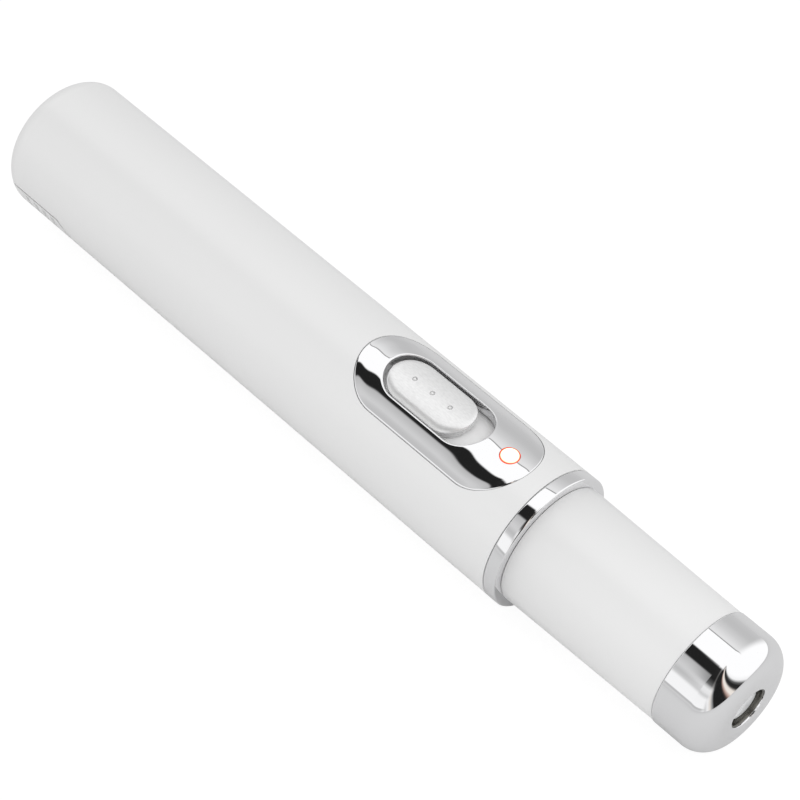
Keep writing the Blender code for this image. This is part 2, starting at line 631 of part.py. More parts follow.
def grip_grooves():
    """Shallow thumb grooves in both sides of the door's rear end."""
    rings = []
    for i in range(GRIP_COUNT):
        x = GRIP_FIRST + i * GRIP_PITCH
        rings.append(
            ring_profile(x, x + GRIP_WIDTH, BODY_RADIUS - GRIP_DEPTH, BODY_RADIUS + CUT_OVERRUN))
    grooves = lathe("grip_grooves", rings, closed=True)
    high = DOOR_EAR_HEIGHT - GRIP_WIDTH
    reach = BODY_RADIUS + 2 * CUT_OVERRUN
    band = box("grip_band", (0, -reach, high - GRIP_HEIGHT), (PEN_LENGTH, reach, high))
    boolean(grooves, band, "INTERSECT")
    return grooves


def build_front_ring():
    bevel = RING_BEVEL
    lathe("front_ring", [[
        (RING_REAR - SPIGOT_LENGTH, RING_BORE), (RING_FRONT, RING_BORE),
        (RING_FRONT, BODY_RADIUS - bevel), (RING_FRONT - bevel, BODY_RADIUS),
        (RING_REAR + bevel, BODY_RADIUS), (RING_REAR, BODY_RADIUS - bevel),
        (RING_REAR, SPIGOT_RADIUS), (RING_REAR - SPIGOT_LENGTH, SPIGOT_RADIUS)]],
        CHROME, closed=True)


def build_front_barrel():
    lathe("front_barrel", [[
        (BARREL_STEM_REAR, STEM_BORE), (BARREL_REAR, STEM_BORE), (BARREL_REAR, BARREL_BORE_RADIUS),
        (BARREL_NECK_FRONT, BARREL_BORE_RADIUS), (BARREL_NECK_FRONT, BARREL_NECK_RADIUS),
        (BARREL_FRONT, BARREL_NECK_RADIUS), (BARREL_FRONT, BARREL_FRONT_RADIUS),
        (BARREL_REAR, BARREL_REAR_RADIUS), (BARREL_REAR, STEM_RADIUS),
        (BARREL_STEM_REAR, STEM_RADIUS)]],
        WHITE_ABS, closed=True)


def build_tip():
    fillet = TIP_FILLET - TIP_WALL
    corner = (TIP_END - TIP_FILLET, TIP_RADIUS - TIP_FILLET)
    inside = arc(corner, (fillet, fillet), 90, 0)
    outside = arc(corner, (TIP_FILLET, TIP_FILLET), 0, 90)
    lathe("tip_cap", [[
        (TIP_REAR, TIP_INNER), *inside, (TIP_INNER_END, TIP_HOLE_RADIUS), (TIP_END, TIP_HOLE_RADIUS),
        *outside, (TIP_REAR, TIP_RADIUS)]],
        CHROME, closed=True)
    nose_front = LENS_FRONT + LENS_NOSE_LENGTH
    lathe("tip_lens", [[
        (nose_front, 0), (nose_front, LENS_NOSE_RADIUS), (LENS_FRONT, LENS_NOSE_RADIUS),
        (LENS_FRONT, LENS_FLANGE_RADIUS), (LENS_REAR, LENS_FLANGE_RADIUS), (LENS_REAR, 0)]],
        CLEAR_PLASTIC, steps=INNER_STEPS)


def build_switch_bezel():
    plate = ring_profile(0, BODY_LENGTH, COLLAR_LOW, BEZEL_TOP)
    bezel = lathe("switch_bezel", [plate], CHROME, closed=True)
    outline = upright_prism(
        "bezel_outline", stadium(BEZEL_CENTRE, BEZEL_LENGTH, BEZEL_WIDTH), 0, BODY_RADIUS + CUT_OVERRUN)
    boolean(bezel, outline, "INTERSECT")
    under = lathe("bezel_underside", [rod_profile(0, BODY_LENGTH, BEZEL_SEAT)])
    walls = 2 * BEZEL_COLLAR_WALL
    collar = stadium(SLOT_CENTRE, SLOT_LENGTH + walls, SLOT_WIDTH + walls)
    boolean(under, upright_prism("bezel_collar", collar, 0, BODY_RADIUS + CUT_OVERRUN))
    boolean(bezel, under)
    slot = stadium(SLOT_CENTRE, SLOT_LENGTH, SLOT_WIDTH)
    boolean(bezel, upright_prism("bezel_slot", slot, 0, BODY_RADIUS + CUT_OVERRUN))
    hole_radius = LAMP_RADIUS + FIT_GAP
    boolean(bezel, upright(
        "lamp_hole", [(LAMP_PLACE, 0)], hole_radius, 0, BODY_RADIUS + CUT_OVERRUN, steps=INNER_STEPS))


def build_button():
    crown = lathe("slide_button", [ring_profile(0, BODY_LENGTH, BUTTON_LOW, BUTTON_TOP)], SATIN,
                  closed=True, parent=slider)
    outline = stadium(BUTTON_CENTRE, BUTTON_LENGTH, BUTTON_WIDTH)
    boolean(crown, upright_prism("button_outline", outline, 0, BODY_RADIUS + CUT_OVERRUN), "INTERSECT")
    boolean(crown, box("button_stem", *stem_corners(0, STEM_LOW, BUTTON_LOW + FIT_GAP)), "UNION")
    half = (LEVER_LENGTH / 2 + FIT_GAP, LEVER_WIDTH / 2 + FIT_GAP)
    pocket_low = (BUTTON_CENTRE - half[0], -half[1], STEM_LOW - CUT_OVERRUN)
    pocket_high = (BUTTON_CENTRE + half[0], half[1], STEM_POCKET_TOP)
    boolean(crown, box("lever_pocket", pocket_low, pocket_high))
    middle = (DIMPLE_COUNT - 1) / 2
    places = [(BUTTON_CENTRE + (i - middle) * DIMPLE_PITCH, 0) for i in range(DIMPLE_COUNT)]
    floor = BUTTON_TOP - DIMPLE_DEPTH
    boolean(crown, upright("button_dimples", places, DIMPLE_RADIUS, floor, BODY_RADIUS + CUT_OVERRUN))


def stem_corners(gap, low, high):
    """Corners of the button's stem, grown sideways by a gap."""
    half_length = STEM_LENGTH / 2 + gap
    half_width = STEM_WIDTH / 2 + gap
    return (
        (BUTTON_CENTRE - half_length, -half_width, low),
        (BUTTON_CENTRE + half_length, half_width, high))


def build_shutter():
    shutter = lathe("button_shutter", [ring_profile(
        SHUTTER_REAR, SHUTTER_REAR + SHUTTER_LENGTH, SHUTTER_LOW, SHUTTER_TOP)], PALE_PLASTIC,
        closed=True, parent=slider)
    low = (0, -SHUTTER_WIDTH / 2, 0)
    high = (PEN_LENGTH, SHUTTER_WIDTH / 2, BODY_RADIUS)
    boolean(shutter, box("shutter_width", low, high), "INTERSECT")
    boolean(shutter, box("shutter_stem_hole", *stem_corners(FIT_GAP, 0, BODY_RADIUS)))


def build_slide_switch():
    half = (SWITCH_LENGTH / 2, SWITCH_WIDTH / 2)
    switch = box(
        "slide_switch", (SWITCH_CENTRE - half[0], -half[1], SWITCH_LOW),
        (SWITCH_CENTRE + half[0], half[1], SWITCH_TOP), STEEL)
    slot_half = ((LEVER_LENGTH + BUTTON_TRAVEL) / 2 + FIT_GAP, LEVER_WIDTH / 2 + FIT_GAP)
    boolean(switch, box(
        "lever_slot", (SWITCH_CENTRE - slot_half[0], -slot_half[1], LEVER_LOW - FIT_GAP),
        (SWITCH_CENTRE + slot_half[0], slot_half[1], SWITCH_TOP + CUT_OVERRUN)))
    box("switch_lever", (BUTTON_CENTRE - LEVER_LENGTH / 2, -LEVER_WIDTH / 2, LEVER_LOW),
        (BUTTON_CENTRE + LEVER_LENGTH / 2, LEVER_WIDTH / 2, LEVER_TOP), BLACK_PLASTIC, slider)


def build_indicator_led():
    top = BEZEL_TOP + LAMP_RISE
    low = BOARD_TOP + LAMP_SINK
    shoulder = low + LAMP_FLANGE_HEIGHT
    dome = arc((top - LAMP_RADIUS, 0), (LAMP_RADIUS, LAMP_RADIUS), 0, 90)
    lamp = lathe("indicator_led", [[
        *dome, (shoulder, LAMP_RADIUS), (shoulder, LAMP_FLANGE_RADIUS), (low, LAMP_FLANGE_RADIUS),
        (low, 0)]],
        LAMP_EPOXY, steps=INNER_STEPS, stand=(LAMP_PLACE, 0))
    spread = LAMP_LEG_SPACING / 2
    legs = upright(
        "lamp_legs", [(LAMP_PLACE - spread, 0), (LAMP_PLACE + spread, 0)], LAMP_LEG_RADIUS,
        BOARD_TOP + FIT_GAP, shoulder, steps=SMALL_STEPS // 2)
    boolean(lamp, legs, "UNION")


def build_tray():
    """Battery tray: a trough open below, with end walls, side ribs and posts for the board."""
    half = TRAY_HALF_WIDTH
    tray = box("inner_chassis", (TRAY_REAR, -half, TRAY_BOTTOM), (TRAY_FRONT, half, TRAY_TOP), GREY_PLASTIC)
    for i, share in enumerate(TRAY_RIB_PLACE_SHARES):
        x = TRAY_REAR + TRAY_LENGTH * share
        reach = math.sqrt(SPIGOT_RADIUS ** 2 - TRAY_RIB_HIGH ** 2)
        rib = box(
            f"tray_rib_{i}", (x, -reach, TRAY_RIB_LOW), (x + TRAY_RIB_LENGTH, reach, TRAY_RIB_HIGH))
        boolean(tray, rib, "UNION")
    posts = upright(
        "tray_posts", screw_places(), POST_RADIUS, TRAY_RIB_HIGH - FIT_GAP, TRAY_TOP + POST_HEIGHT)
    boolean(tray, posts, "UNION")
    bay = lathe("tray_bay", [rod_profile(TRAY_BAY_REAR, TRAY_BAY_FRONT, BAY_RADIUS)], steps=INNER_STEPS)
    bay.location.z = -CELL_AXIS_DROP
    boolean(tray, bay)
    boolean(tray, box(
        "tray_mouth", (TRAY_BAY_REAR, -BAY_RADIUS, TRAY_BOTTOM - CUT_OVERRUN),
        (TRAY_BAY_FRONT, BAY_RADIUS, -CELL_AXIS_DROP)))
    boolean(tray, upright(
        "tray_screw_holes", screw_places(), SCREW_SHANK_RADIUS + FIT_GAP,
        BOARD_LOW - SCREW_DEPTH, TRAY_TOP + POST_HEIGHT + CUT_OVERRUN))


def screw_places():
    return [(SCREW_PLACES[0], SCREW_OFFSET), (SCREW_PLACES[1], -SCREW_OFFSET)]


def build_cells():
    for name, rear in (("battery_rear", REAR_CELL_PLACE), ("battery_front", FRONT_CELL_PLACE)):
        front = rear + CELL_LENGTH
        cell = lathe(name, [[
            (front + NUB_LENGTH, 0), (front + NUB_LENGTH, NUB_RADIUS), (front, NUB_RADIUS),
            (front, CELL_RADIUS - CELL_BEVEL), (front - CELL_BEVEL, CELL_RADIUS),
            (rear + CELL_BEVEL, CELL_RADIUS), (rear, CELL_RADIUS - CELL_BEVEL), (rear, 0)]],
            CELL_JACKET, steps=INNER_STEPS)
        cell.location.z = -CELL_AXIS_DROP


def build_contacts():
    for name, rear in (("spring_plate", REAR_PLATE_PLACE), ("positive_contact", FRONT_PLATE_PLACE)):
        plate = lathe(name, [rod_profile(rear, rear + PLATE_THICKNESS, PLATE_RADIUS)], STEEL,
                      steps=INNER_STEPS)
        plate.location.z = -CELL_AXIS_DROP
    points_per_turn = 9
    start = SPRING_REAR + SPRING_WIRE_RADIUS
    rise = SPRING_LENGTH - 2 * SPRING_WIRE_RADIUS
    count = SPRING_TURNS * points_per_turn
    route = []
    for i in range(count + 1):
        angle = math.tau * i / points_per_turn
        route.append((
            start + rise * i / count, SPRING_COIL_RADIUS * math.cos(angle),
            SPRING_COIL_RADIUS * math.sin(angle) - CELL_AXIS_DROP))
    tube("battery_spring", route, SPRING_WIRE_RADIUS, STEEL)


def build_board():
    half = BOARD_WIDTH / 2
    board = box("main_board", (BOARD_REAR, -half, BOARD_LOW), (BOARD_FRONT, half, BOARD_TOP), BOARD_GREEN)
    holes = upright(
        "board_screw_holes", screw_places(), SCREW_SHANK_RADIUS + FIT_GAP,
        BOARD_LOW - CUT_OVERRUN, BOARD_TOP + CUT_OVERRUN)
    boolean(board, holes)
    head_low = BOARD_TOP + FIT_GAP
    head_high = head_low + SCREW_HEAD_HEIGHT
    for name, place in zip(("rear", "front"), screw_places()):
        screw = upright(f"board_screw_{name}", [place], SCREW_HEAD_RADIUS, head_low, head_high, STEEL)
        shank = upright(
            f"screw_shank_{name}", [place], SCREW_SHANK_RADIUS, BOARD_LOW - SCREW_DEPTH + FIT_GAP,
            head_low + SCREW_HEAD_HEIGHT / 2)
        boolean(screw, shank, "UNION")
    box("driver_chip", (SWITCH_CENTRE - CHIP_LENGTH / 2, CHIP_OFFSET, SWITCH_LOW),
        (SWITCH_CENTRE + CHIP_LENGTH / 2, CHIP_OUTER, CHIP_TOP),
        BLACK_PLASTIC)
    upright("board_capacitor", [(BOARD_REAR + 2 * SCREW_INSET, -CAPACITOR_OFFSET)], CAPACITOR_RADIUS,
            SWITCH_LOW, SWITCH_LOW + CAPACITOR_HEIGHT, BLACK_PLASTIC)
    build_resistors()


def build_resistors():
    """Chip resistors in a row beside the switch."""
    for i in range(RESISTOR_COUNT):
        x = SWITCH_CENTRE + (i - (RESISTOR_COUNT - 1) / 2) * RESISTOR_PITCH
        low = (x - RESISTOR_WIDTH / 2, -RESISTOR_OUTER, SWITCH_LOW)
        high = (x + RESISTOR_WIDTH / 2, RESISTOR_LENGTH - RESISTOR_OUTER, SWITCH_LOW + RESISTOR_HEIGHT)
        box(f"board_resistor_{i + 1}", low, high, GREY_PLASTIC)


def build_motor():
    nose = MOTOR_FRONT + MOTOR_NOSE_LENGTH
    bore_end = nose - MOTOR_BORE_DEPTH
    bore = SHAFT_RADIUS + SHAFT_CLEARANCE
    lathe("vibration_motor", [[
        (bore_end, 0), (bore_end, bore), (nose, bore), (nose, MOTOR_NOSE_RADIUS),
        (MOTOR_FRONT, MOTOR_NOSE_RADIUS), (MOTOR_FRONT, MOTOR_RADIUS), (MOTOR_REAR, MOTOR_RADIUS),
        (MOTOR_REAR, 0)]],
        STEEL, steps=INNER_STEPS)
    lathe("motor_shaft", [rod_profile(bore_end + FIT_GAP, SHAFT_FRONT, SHAFT_RADIUS)], STEEL,
          steps=INNER_STEPS, parent=rotor)
    weight = lathe("eccentric_weight", [ring_profile(
        WEIGHT_REAR, WEIGHT_REAR + WEIGHT_LENGTH, SHAFT_RADIUS + SHAFT_CLEARANCE, WEIGHT_RADIUS)],
        TUNGSTEN, steps=INNER_STEPS, closed=True, parent=rotor)
    boolean(weight, box(
        "weight_flat", (MOTOR_FRONT, -MOTOR_RADIUS, WEIGHT_FLAT_HEIGHT),
        (BARREL_FRONT, MOTOR_RADIUS, BARREL_BORE_RADIUS)))
    holder = lathe("motor_holder", [ring_profile(
        HOLDER_REAR, HOLDER_REAR + HOLDER_LENGTH, MOTOR_RADIUS + FIT_GAP, HOLDER_RADIUS)],
        SILICONE, steps=INNER_STEPS, closed=True)
    boolean(holder, box(
        "holder_groove", (RING_REAR, -HOLDER_GROOVE_WIDTH / 2, HOLDER_RADIUS - HOLDER_GROOVE_DEPTH),
        (BARREL_FRONT, HOLDER_GROOVE_WIDTH / 2, BODY_RADIUS)))


def build_tip_lamp():
    lathe("led_board", [rod_profile(
        LED_BOARD_REAR, LED_BOARD_REAR + LED_BOARD_THICKNESS, HOLDER_RADIUS)], BOARD_GREEN,
        steps=INNER_STEPS)
    shoulder = LED_REAR + LED_FLANGE_LENGTH
    dome = arc((LED_REAR + LED_LENGTH - LED_RADIUS, 0), (LED_RADIUS, LED_RADIUS), 0, 90)
    lathe("treatment_led", [[
        *dome, (shoulder, LED_RADIUS), (shoulder, LED_FLANGE_RADIUS), (LED_REAR, LED_FLANGE_RADIUS),
        (LED_REAR, 0)]],
        LAMP_EPOXY, steps=INNER_STEPS)
    pocket = shoulder + FIT_GAP
    lathe("led_holder", [[
        (LAMP_HOLDER_REAR, LED_FLANGE_RADIUS + FIT_GAP), (pocket, LED_FLANGE_RADIUS + FIT_GAP),
        (pocket, LED_RADIUS + FIT_GAP), (LAMP_HOLDER_FRONT, LED_RADIUS + FIT_GAP),
        (LAMP_HOLDER_FRONT, HOLDER_RADIUS), (LAMP_HOLDER_REAR, HOLDER_RADIUS)]],
        PALE_PLASTIC, steps=INNER_STEPS, closed=True)


def build_wires():
    spacing = 3 * WIRE_RADIUS
    deck = TRAY_TOP + FIT_GAP + WIRE_RADIUS
    above = SWITCH_LOW + WIRE_RADIUS
    side = BOARD_WIDTH / 2 - WIRE_SPACING
    half = WIRE_SPACING / 2
    behind = (REAR_WALL + TRAY_REAR) / 2
    negative = [
        (behind, 0, 0), (behind, 0, TRAY_TOP - WIRE_RADIUS), (TRAY_REAR - FIT_GAP, 0, deck - FIT_GAP / 2),
        (TRAY_REAR + WIRE_SPACING, 0, deck), (TRAY_REAR + 3 * WIRE_SPACING, 0, deck),
        (BOARD_REAR / 2, half, deck), (BOARD_REAR - 4 * WIRE_SPACING, half, deck),
        (BOARD_REAR - 2 * WIRE_SPACING, half, deck), (BOARD_REAR - WIRE_SPACING, half, above - half),
        (BOARD_REAR, half, above),
        (BOARD_REAR + 2 * WIRE_SPACING, half, above)]
    tube("negative_wire", smooth_route(negative, spacing), WIRE_RADIUS, BLACK_WIRE)
    front = TRAY_FRONT + FIT_GAP + WIRE_RADIUS
    positive = [
        (front, side, -CELL_AXIS_DROP), (front, side, 0), (front, side, BOARD_LOW - WIRE_SPACING)]
    tube("positive_wire", smooth_route(positive, spacing), WIRE_RADIUS, RED_WIRE)
    lift = HOLDER_RADIUS - HOLDER_GROOVE_DEPTH / 2
    for name, y, finish in (("black", -half, BLACK_WIRE), ("red", half, RED_WIRE)):
        motor = [
            (BOARD_FRONT - WIRE_SPACING, 3 * y, above), (BOARD_FRONT + half, 3 * y, above),
            (BARREL_STEM_REAR, 2 * y, BOARD_LOW), (RING_FRONT, y, WIRE_SPACING),
            (MOTOR_REAR - FIT_GAP, y, WIRE_SPACING / 2)]
        tube(f"motor_wire_{name}", smooth_route(motor, spacing), WIRE_RADIUS, finish)
        lamp = [
            (BOARD_FRONT - WIRE_SPACING, 5 * y, above), (BOARD_FRONT + half, 5 * y, above),
            (BARREL_STEM_REAR, 3 * y, above), (RING_FRONT, y, lift - half),
            (HOLDER_REAR + WIRE_SPACING, y, lift), (MOTOR_FRONT, y, lift),
            (LED_BOARD_REAR - WIRE_SPACING, y, lift - half),
            (LED_BOARD_REAR - FIT_GAP, y, lift - half)]
        tube(f"led_wire_{name}", smooth_route(lamp, spacing), WIRE_RADIUS, finish)


clear_scene()
parts = new_collection("electric_eye_massager")
cutters = new_collection("electric_eye_massager_cutters")
pen_axis = bpy.data.objects.new("pen_axis", None)
pen_axis.location = (-PEN_LENGTH / 2, 0, BODY_RADIUS * FLAT_SHARE)
parts.objects.link(pen_axis)
slider = bpy.data.objects.new("slider", None)
slider.parent = pen_axis
parts.objects.link(slider)
rotor = bpy.data.objects.new("rotor", None)
rotor.parent = pen_axis
parts.objects.link(rotor)

build_body_shell()
build_battery_door()
build_front_ring()
build_front_barrel()
build_tip()
build_switch_bezel()
build_button()
build_shutter()
build_slide_switch()
build_indicator_led()
build_tray()
build_cells()
build_contacts()
build_board()
build_motor()
build_tip_lamp()
build_wires()
bpy.context.view_layer.update()
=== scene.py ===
"""Electric eye massager: fine surfaces, materials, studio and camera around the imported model."""
import math

import bmesh
import bpy
from mathutils import Matrix, Vector


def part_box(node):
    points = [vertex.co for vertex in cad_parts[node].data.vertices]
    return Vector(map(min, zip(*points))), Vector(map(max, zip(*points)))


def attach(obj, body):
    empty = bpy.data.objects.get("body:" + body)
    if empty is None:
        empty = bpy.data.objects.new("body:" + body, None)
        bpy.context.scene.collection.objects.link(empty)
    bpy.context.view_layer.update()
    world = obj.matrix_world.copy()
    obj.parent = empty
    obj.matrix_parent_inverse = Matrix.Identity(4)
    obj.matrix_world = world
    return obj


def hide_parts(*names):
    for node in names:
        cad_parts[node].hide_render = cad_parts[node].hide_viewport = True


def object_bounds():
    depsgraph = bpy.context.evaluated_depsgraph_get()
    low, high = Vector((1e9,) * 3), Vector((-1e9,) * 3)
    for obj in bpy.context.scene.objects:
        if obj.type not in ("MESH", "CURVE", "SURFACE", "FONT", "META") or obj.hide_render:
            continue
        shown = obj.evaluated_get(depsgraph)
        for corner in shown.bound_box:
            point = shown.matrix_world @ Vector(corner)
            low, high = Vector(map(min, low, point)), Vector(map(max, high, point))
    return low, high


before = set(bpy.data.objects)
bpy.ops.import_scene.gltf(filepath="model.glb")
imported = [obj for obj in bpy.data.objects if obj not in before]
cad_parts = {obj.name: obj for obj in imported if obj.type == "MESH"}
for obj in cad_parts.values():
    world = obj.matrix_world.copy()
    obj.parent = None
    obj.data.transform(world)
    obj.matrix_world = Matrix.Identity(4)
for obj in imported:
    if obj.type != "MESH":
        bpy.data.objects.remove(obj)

cad_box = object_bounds()

# Where the pen's axis lies. Inside this script x runs from the flat rear end, y and z from the axis.
tip_low, tip_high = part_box("tip_cap")
ORIGIN = Vector((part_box("body_shell")[0].x, 0, (tip_low.z + tip_high.z) / 2))

# Sizes in metres, the same as the model's but for the narrower gaps between the white and chrome pieces
BODY_LENGTH, BODY_RADIUS, BODY_WALL = 0.1049, 0.0110, 0.0016
REAR_FILLET_LENGTH, REAR_FLAT_RADIUS = 0.0036, 0.0062
DOOR_FRONT, DOOR_EDGE, DOOR_EAR = 0.1010, -0.0050, -0.0018
DOOR_EAR_FRONT, DOOR_EAR_SLOPE = 0.0134, 0.0021
SEAM = 0.00042
RING_REAR, RING_FRONT, RING_SPIGOT = 0.10496, 0.1071, 0.1029
BARREL_REAR, BARREL_FRONT, BARREL_NECK = 0.10715, 0.13488, 0.13895
BARREL_REAR_RADIUS, BARREL_FRONT_RADIUS = 0.0097, 0.0093
BARREL_BORE = 0.0075
TIP_REAR, TIP_END, TIP_RADIUS, TIP_FILLET, TIP_WALL = 0.13495, 0.1438, 0.0094, 0.0040, 0.0006
TIP_HOLE = 0.00326
BEZEL_CENTRE, BEZEL_LENGTH, BEZEL_WIDTH, BEZEL_TOP = 0.0862, 0.0316, 0.0146, 0.0111
SLOT_CENTRE, SLOT_LENGTH, SLOT_WIDTH = 0.0843, 0.0188, 0.0086
BUTTON_CENTRE, BUTTON_LENGTH, BUTTON_WIDTH = 0.08295, 0.0149, 0.0079
BUTTON_TOP, BUTTON_LOW = 0.01095, 0.0094
LAMP_PLACE, LAMP_RADIUS, LAMP_DOME = 0.0981, 0.00145, 0.0005

# Sizes worked out from these, and the overrun of the shapes that cut
BODY_INNER = BODY_RADIUS - BODY_WALL
REAR_FILLET_DEPTH = BODY_RADIUS - REAR_FLAT_RADIUS
OVERRUN = 0.002
BEZEL_REACH = (BEZEL_LENGTH - BEZEL_WIDTH) / 2
SLOT_REACH = (SLOT_LENGTH - SLOT_WIDTH) / 2
BUTTON_REACH = (BUTTON_LENGTH - BUTTON_WIDTH) / 2

# The chrome plate's rim, the lip of its slot and the collar round it
RIM_ROUND = 0.00022
RIM_SLOPE, RIM_SLOPE_REACH = 0.00010, 0.0009
LIP_REACH, LIP_DROP = 0.00032, 0.0002
COLLAR_RISE, COLLAR_REACH = 0.00013, 0.0016
PLATE_LOW, PLATE_SHELF, PLATE_SKIRT = 0.0094, 0.0103, 0.0008
SEAT_GAP = 0.00005

# The button's rounded edge, the grooves of its wall and its dimples
BUTTON_ROUND, BUTTON_DROP = 0.0010, 0.00042
BUTTON_RIDGE = 0.0003
# How far down the button's wall each edge of its grooves lies, and how deep it is
BUTTON_WALL_SHARES = (
    (0.16, 0), (0.20, 1), (0.34, 1), (0.38, 0), (0.48, 0), (0.52, 1), (0.64, 1), (0.68, 0), (0.78, 0),
    (0.82, 1), (0.92, 1), (0.95, 0), (1.0, 0))
DIMPLE_PITCH, DIMPLE_RING, DIMPLE_SPREAD, DIMPLE_DEPTH = 0.0035, 0.00029, 0.00007, 0.00030

# The slot's floor, the button's stem and the lamp with its hole
SHUTTER_LOW, SHUTTER_TOP = 0.0085, 0.0091
SHUTTER_REAR, SHUTTER_FRONT, SHUTTER_SIDE = 0.0721, 0.0937, 0.0049
SHUTTER_HOLE_REAR, SHUTTER_HOLE_FRONT, SHUTTER_HOLE_SIDE = 0.08055, 0.08535, 0.0021
STEM_REAR, STEM_FRONT, STEM_SIDE, STEM_LOW, STEM_TOP = 0.08085, 0.08505, 0.0018, 0.00735, 0.0097
POCKET_REAR, POCKET_FRONT, POCKET_SIDE, POCKET_LOW, POCKET_TOP = 0.08195, 0.08395, 0.0009, 0.005, 0.00855
LAMP_TOP, LAMP_SHOULDER, LAMP_FOOT, LAMP_FLANGE_RADIUS = 0.0114, 0.0069, 0.0061, 0.0018
LEG_END, LEG_RADIUS, LEG_OFFSET = 0.00545, 0.00025, 0.0009
LAMP_HOLE, LAMP_HOLE_LOW, LAMP_HOLE_HIGH = 0.00151, 0.005, 0.013

# The case's seat for the plate, its opening and ledges, and what the door carries inside and out
SEAT_FLOOR = 0.0100
OPENING_CENTRE, OPENING_REACH, OPENING_RADIUS = 0.086725, 0.007525, 0.0056
LEDGE_REAR, LEDGE_INNER, LEDGE_OUTER, LEDGE_LOW, LEDGE_TOP = 0.0157, 0.00775, 0.0086, -0.0048, -0.0042
RAIL_REAR, RAIL_FRONT, RAIL_INNER, RAIL_LOW, RAIL_TOP = 0.0170, 0.0985, 0.00675, -0.00674, -0.0031
WEB_OUTER, HOOK_OUTER, HOOK_LOW = 0.00745, 0.00815, -0.0039
TONGUE_REAR, TONGUE_STEP, TONGUE_FRONT, TONGUE_SIDE = 0.0997, 0.1008, 0.1024, 0.005
TONGUE_INNER, TONGUE_LIP, TONGUE_OUTER = 0.0084, 0.0091, 0.0101
CELL_WAY_REAR, CELL_WAY_FRONT, CELL_WAY_RADIUS = 0.0980, 0.1050, 0.00555
RIB_SHARES = (0.16, 0.40, 0.64, 0.88)
RIB_WIDTH, RIB_SIDE, RIB_INNER, RIB_OUTER, RIB_TOP = 0.001, 0.0035, 0.0084, 0.0101, -0.00875
GROOVE_COUNT, GROOVE_REAR, GROOVE_PITCH, GROOVE_WIDTH = 4, 0.0055, 0.0020, 0.0009
GROOVE_EDGE, GROOVE_DEPTH, GROOVE_LOW, GROOVE_TOP = 0.0001, 0.0006, -0.0062, -0.0022
# Planes that lie clear past the door's front end and over the button
PAST_DOOR, OVER_BUTTON = 0.12, 0.012

# Where the loops of a rounded edge lie, inwards from it
EDGE_STEPS = [0, 0.00001, 0.00003, 0.00006, 0.0001, 0.00015]
LIP_STEPS = [0.00007, 0.00004, 0.00002, 0.00001, 0]
LOOP_STEP, MIDDLE_LOOPS = 0.00005, 16
BUTTON_LOOP_STEP, BUTTON_LAST_STEP, BUTTON_MIDDLE = 0.0001, 0.00003, 0.00324
BUTTON_END_STEPS, BUTTON_SIDE_STEPS = 48, 240

# The ring, the barrel's spigot and neck, the tip's window, and a dark sleeve in the tip's bore that stands in
# for the shade inside the hole
RING_EDGE, RING_BORE, RING_SEAT = 0.00025, 0.0082, 0.0091
SPIGOT_REAR, SPIGOT_BORE, SPIGOT_RADIUS = 0.1032, 0.0069, 0.0079
BARREL_NECK_RADIUS, BARREL_EDGE = 0.0085, 0.00015
SHADE_SLEEVE_REAR, SHADE_SLEEVE_FRONT, SHADE_SLEEVE_BORE, SHADE_SLEEVE_RADIUS = 0.14205, 0.14355, 0.00302, 0.00324
LENS_FACE, LENS_STEP, LENS_BACK, LENS_RADIUS, LENS_FLANGE = 0.1430, 0.1420, 0.1416, 0.00265, 0.0050
# A tenth of a millimetre, for the small steps along an outline's rounded edges
TENTH = 0.0001

# How near a point lies to a surface to count as on it
ON_AXIS, NEAR_AXIS, NEAR_SKIN, NEAR_FLAT, NEAR_FILLET_SHARE, NEAR_TOP = 1e-7, 1e-6, 3e-5, 1e-5, 0.02, 2e-6

# An AAA cell, how far its axis lies under the pen's, its plus nub and the dish round it
CELL_RADIUS, CELL_LENGTH, CELL_DROP = 0.00525, 0.0437, 0.0032
NUB_RADIUS, NUB_LENGTH, DISH_RADIUS, BASE_RADIUS = 0.0019, 0.0008, 0.0032, 0.0036
# A cell's colours from its minus face on, as shares of its length, and where they are bare steel
CELL_COLOURS = (
    (0, (0.62, 0.62, 0.60)), (0.012, (0.02, 0.02, 0.022)), (0.16, (0.45, 0.44, 0.40)),
    (0.172, (0.05, 0.16, 0.42)), (0.974, (0.62, 0.62, 0.60)))
CELL_STEEL = ((0, (1, 1, 1)), (0.012, (0, 0, 0)), (0.974, (1, 1, 1)))

TURN_STEPS = 256


def link(name, mesh, body, *nodes, parent_slot=None):
    """Add a finished mesh as a piece: it rides on a body and stands for the nodes named."""
    item = bpy.data.objects.new(name, mesh)
    bpy.context.scene.collection.objects.link(item)
    item.location = ORIGIN
    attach(item, body)
    if nodes:
        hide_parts(*nodes)
    return item


def turned_mesh(name, profile, steps=TURN_STEPS):
    """Turn a closed (place, radius) profile about the pen's axis."""
    shape = bmesh.new()
    rings = []
    for place, radius in profile:
        if radius < ON_AXIS:
            rings.append([shape.verts.new((place, 0, 0))] * steps)
            continue
        rings.append([
            shape.verts.new((
                place, radius * math.cos(math.tau * i / steps), radius * math.sin(math.tau * i / steps)))
            for i in range(steps)])
    count = len(rings)
    closed = profile[0][1] > ON_AXIS
    for k in range(count if closed else count - 1):
        a, b = rings[k], rings[(k + 1) % count]
        for i in range(steps):
            j = (i + 1) % steps
            corners = []
            for v in (a[i], a[j], b[j], b[i]):
                if v not in corners:
                    corners.append(v)
            if len(corners) > 2:
                shape.faces.new(corners)
    return finish_mesh(name, shape)


def upright_mesh(name, profile, steps, offset=0):
    """Turn a (height, radius) profile about the upright axis through the lamp."""
    mesh = turned_mesh(name, profile, steps)
    mesh.transform(Matrix.Translation((LAMP_PLACE + offset, 0, 0)) @ Matrix.Rotation(-math.pi / 2, 4, "Y"))
    return mesh


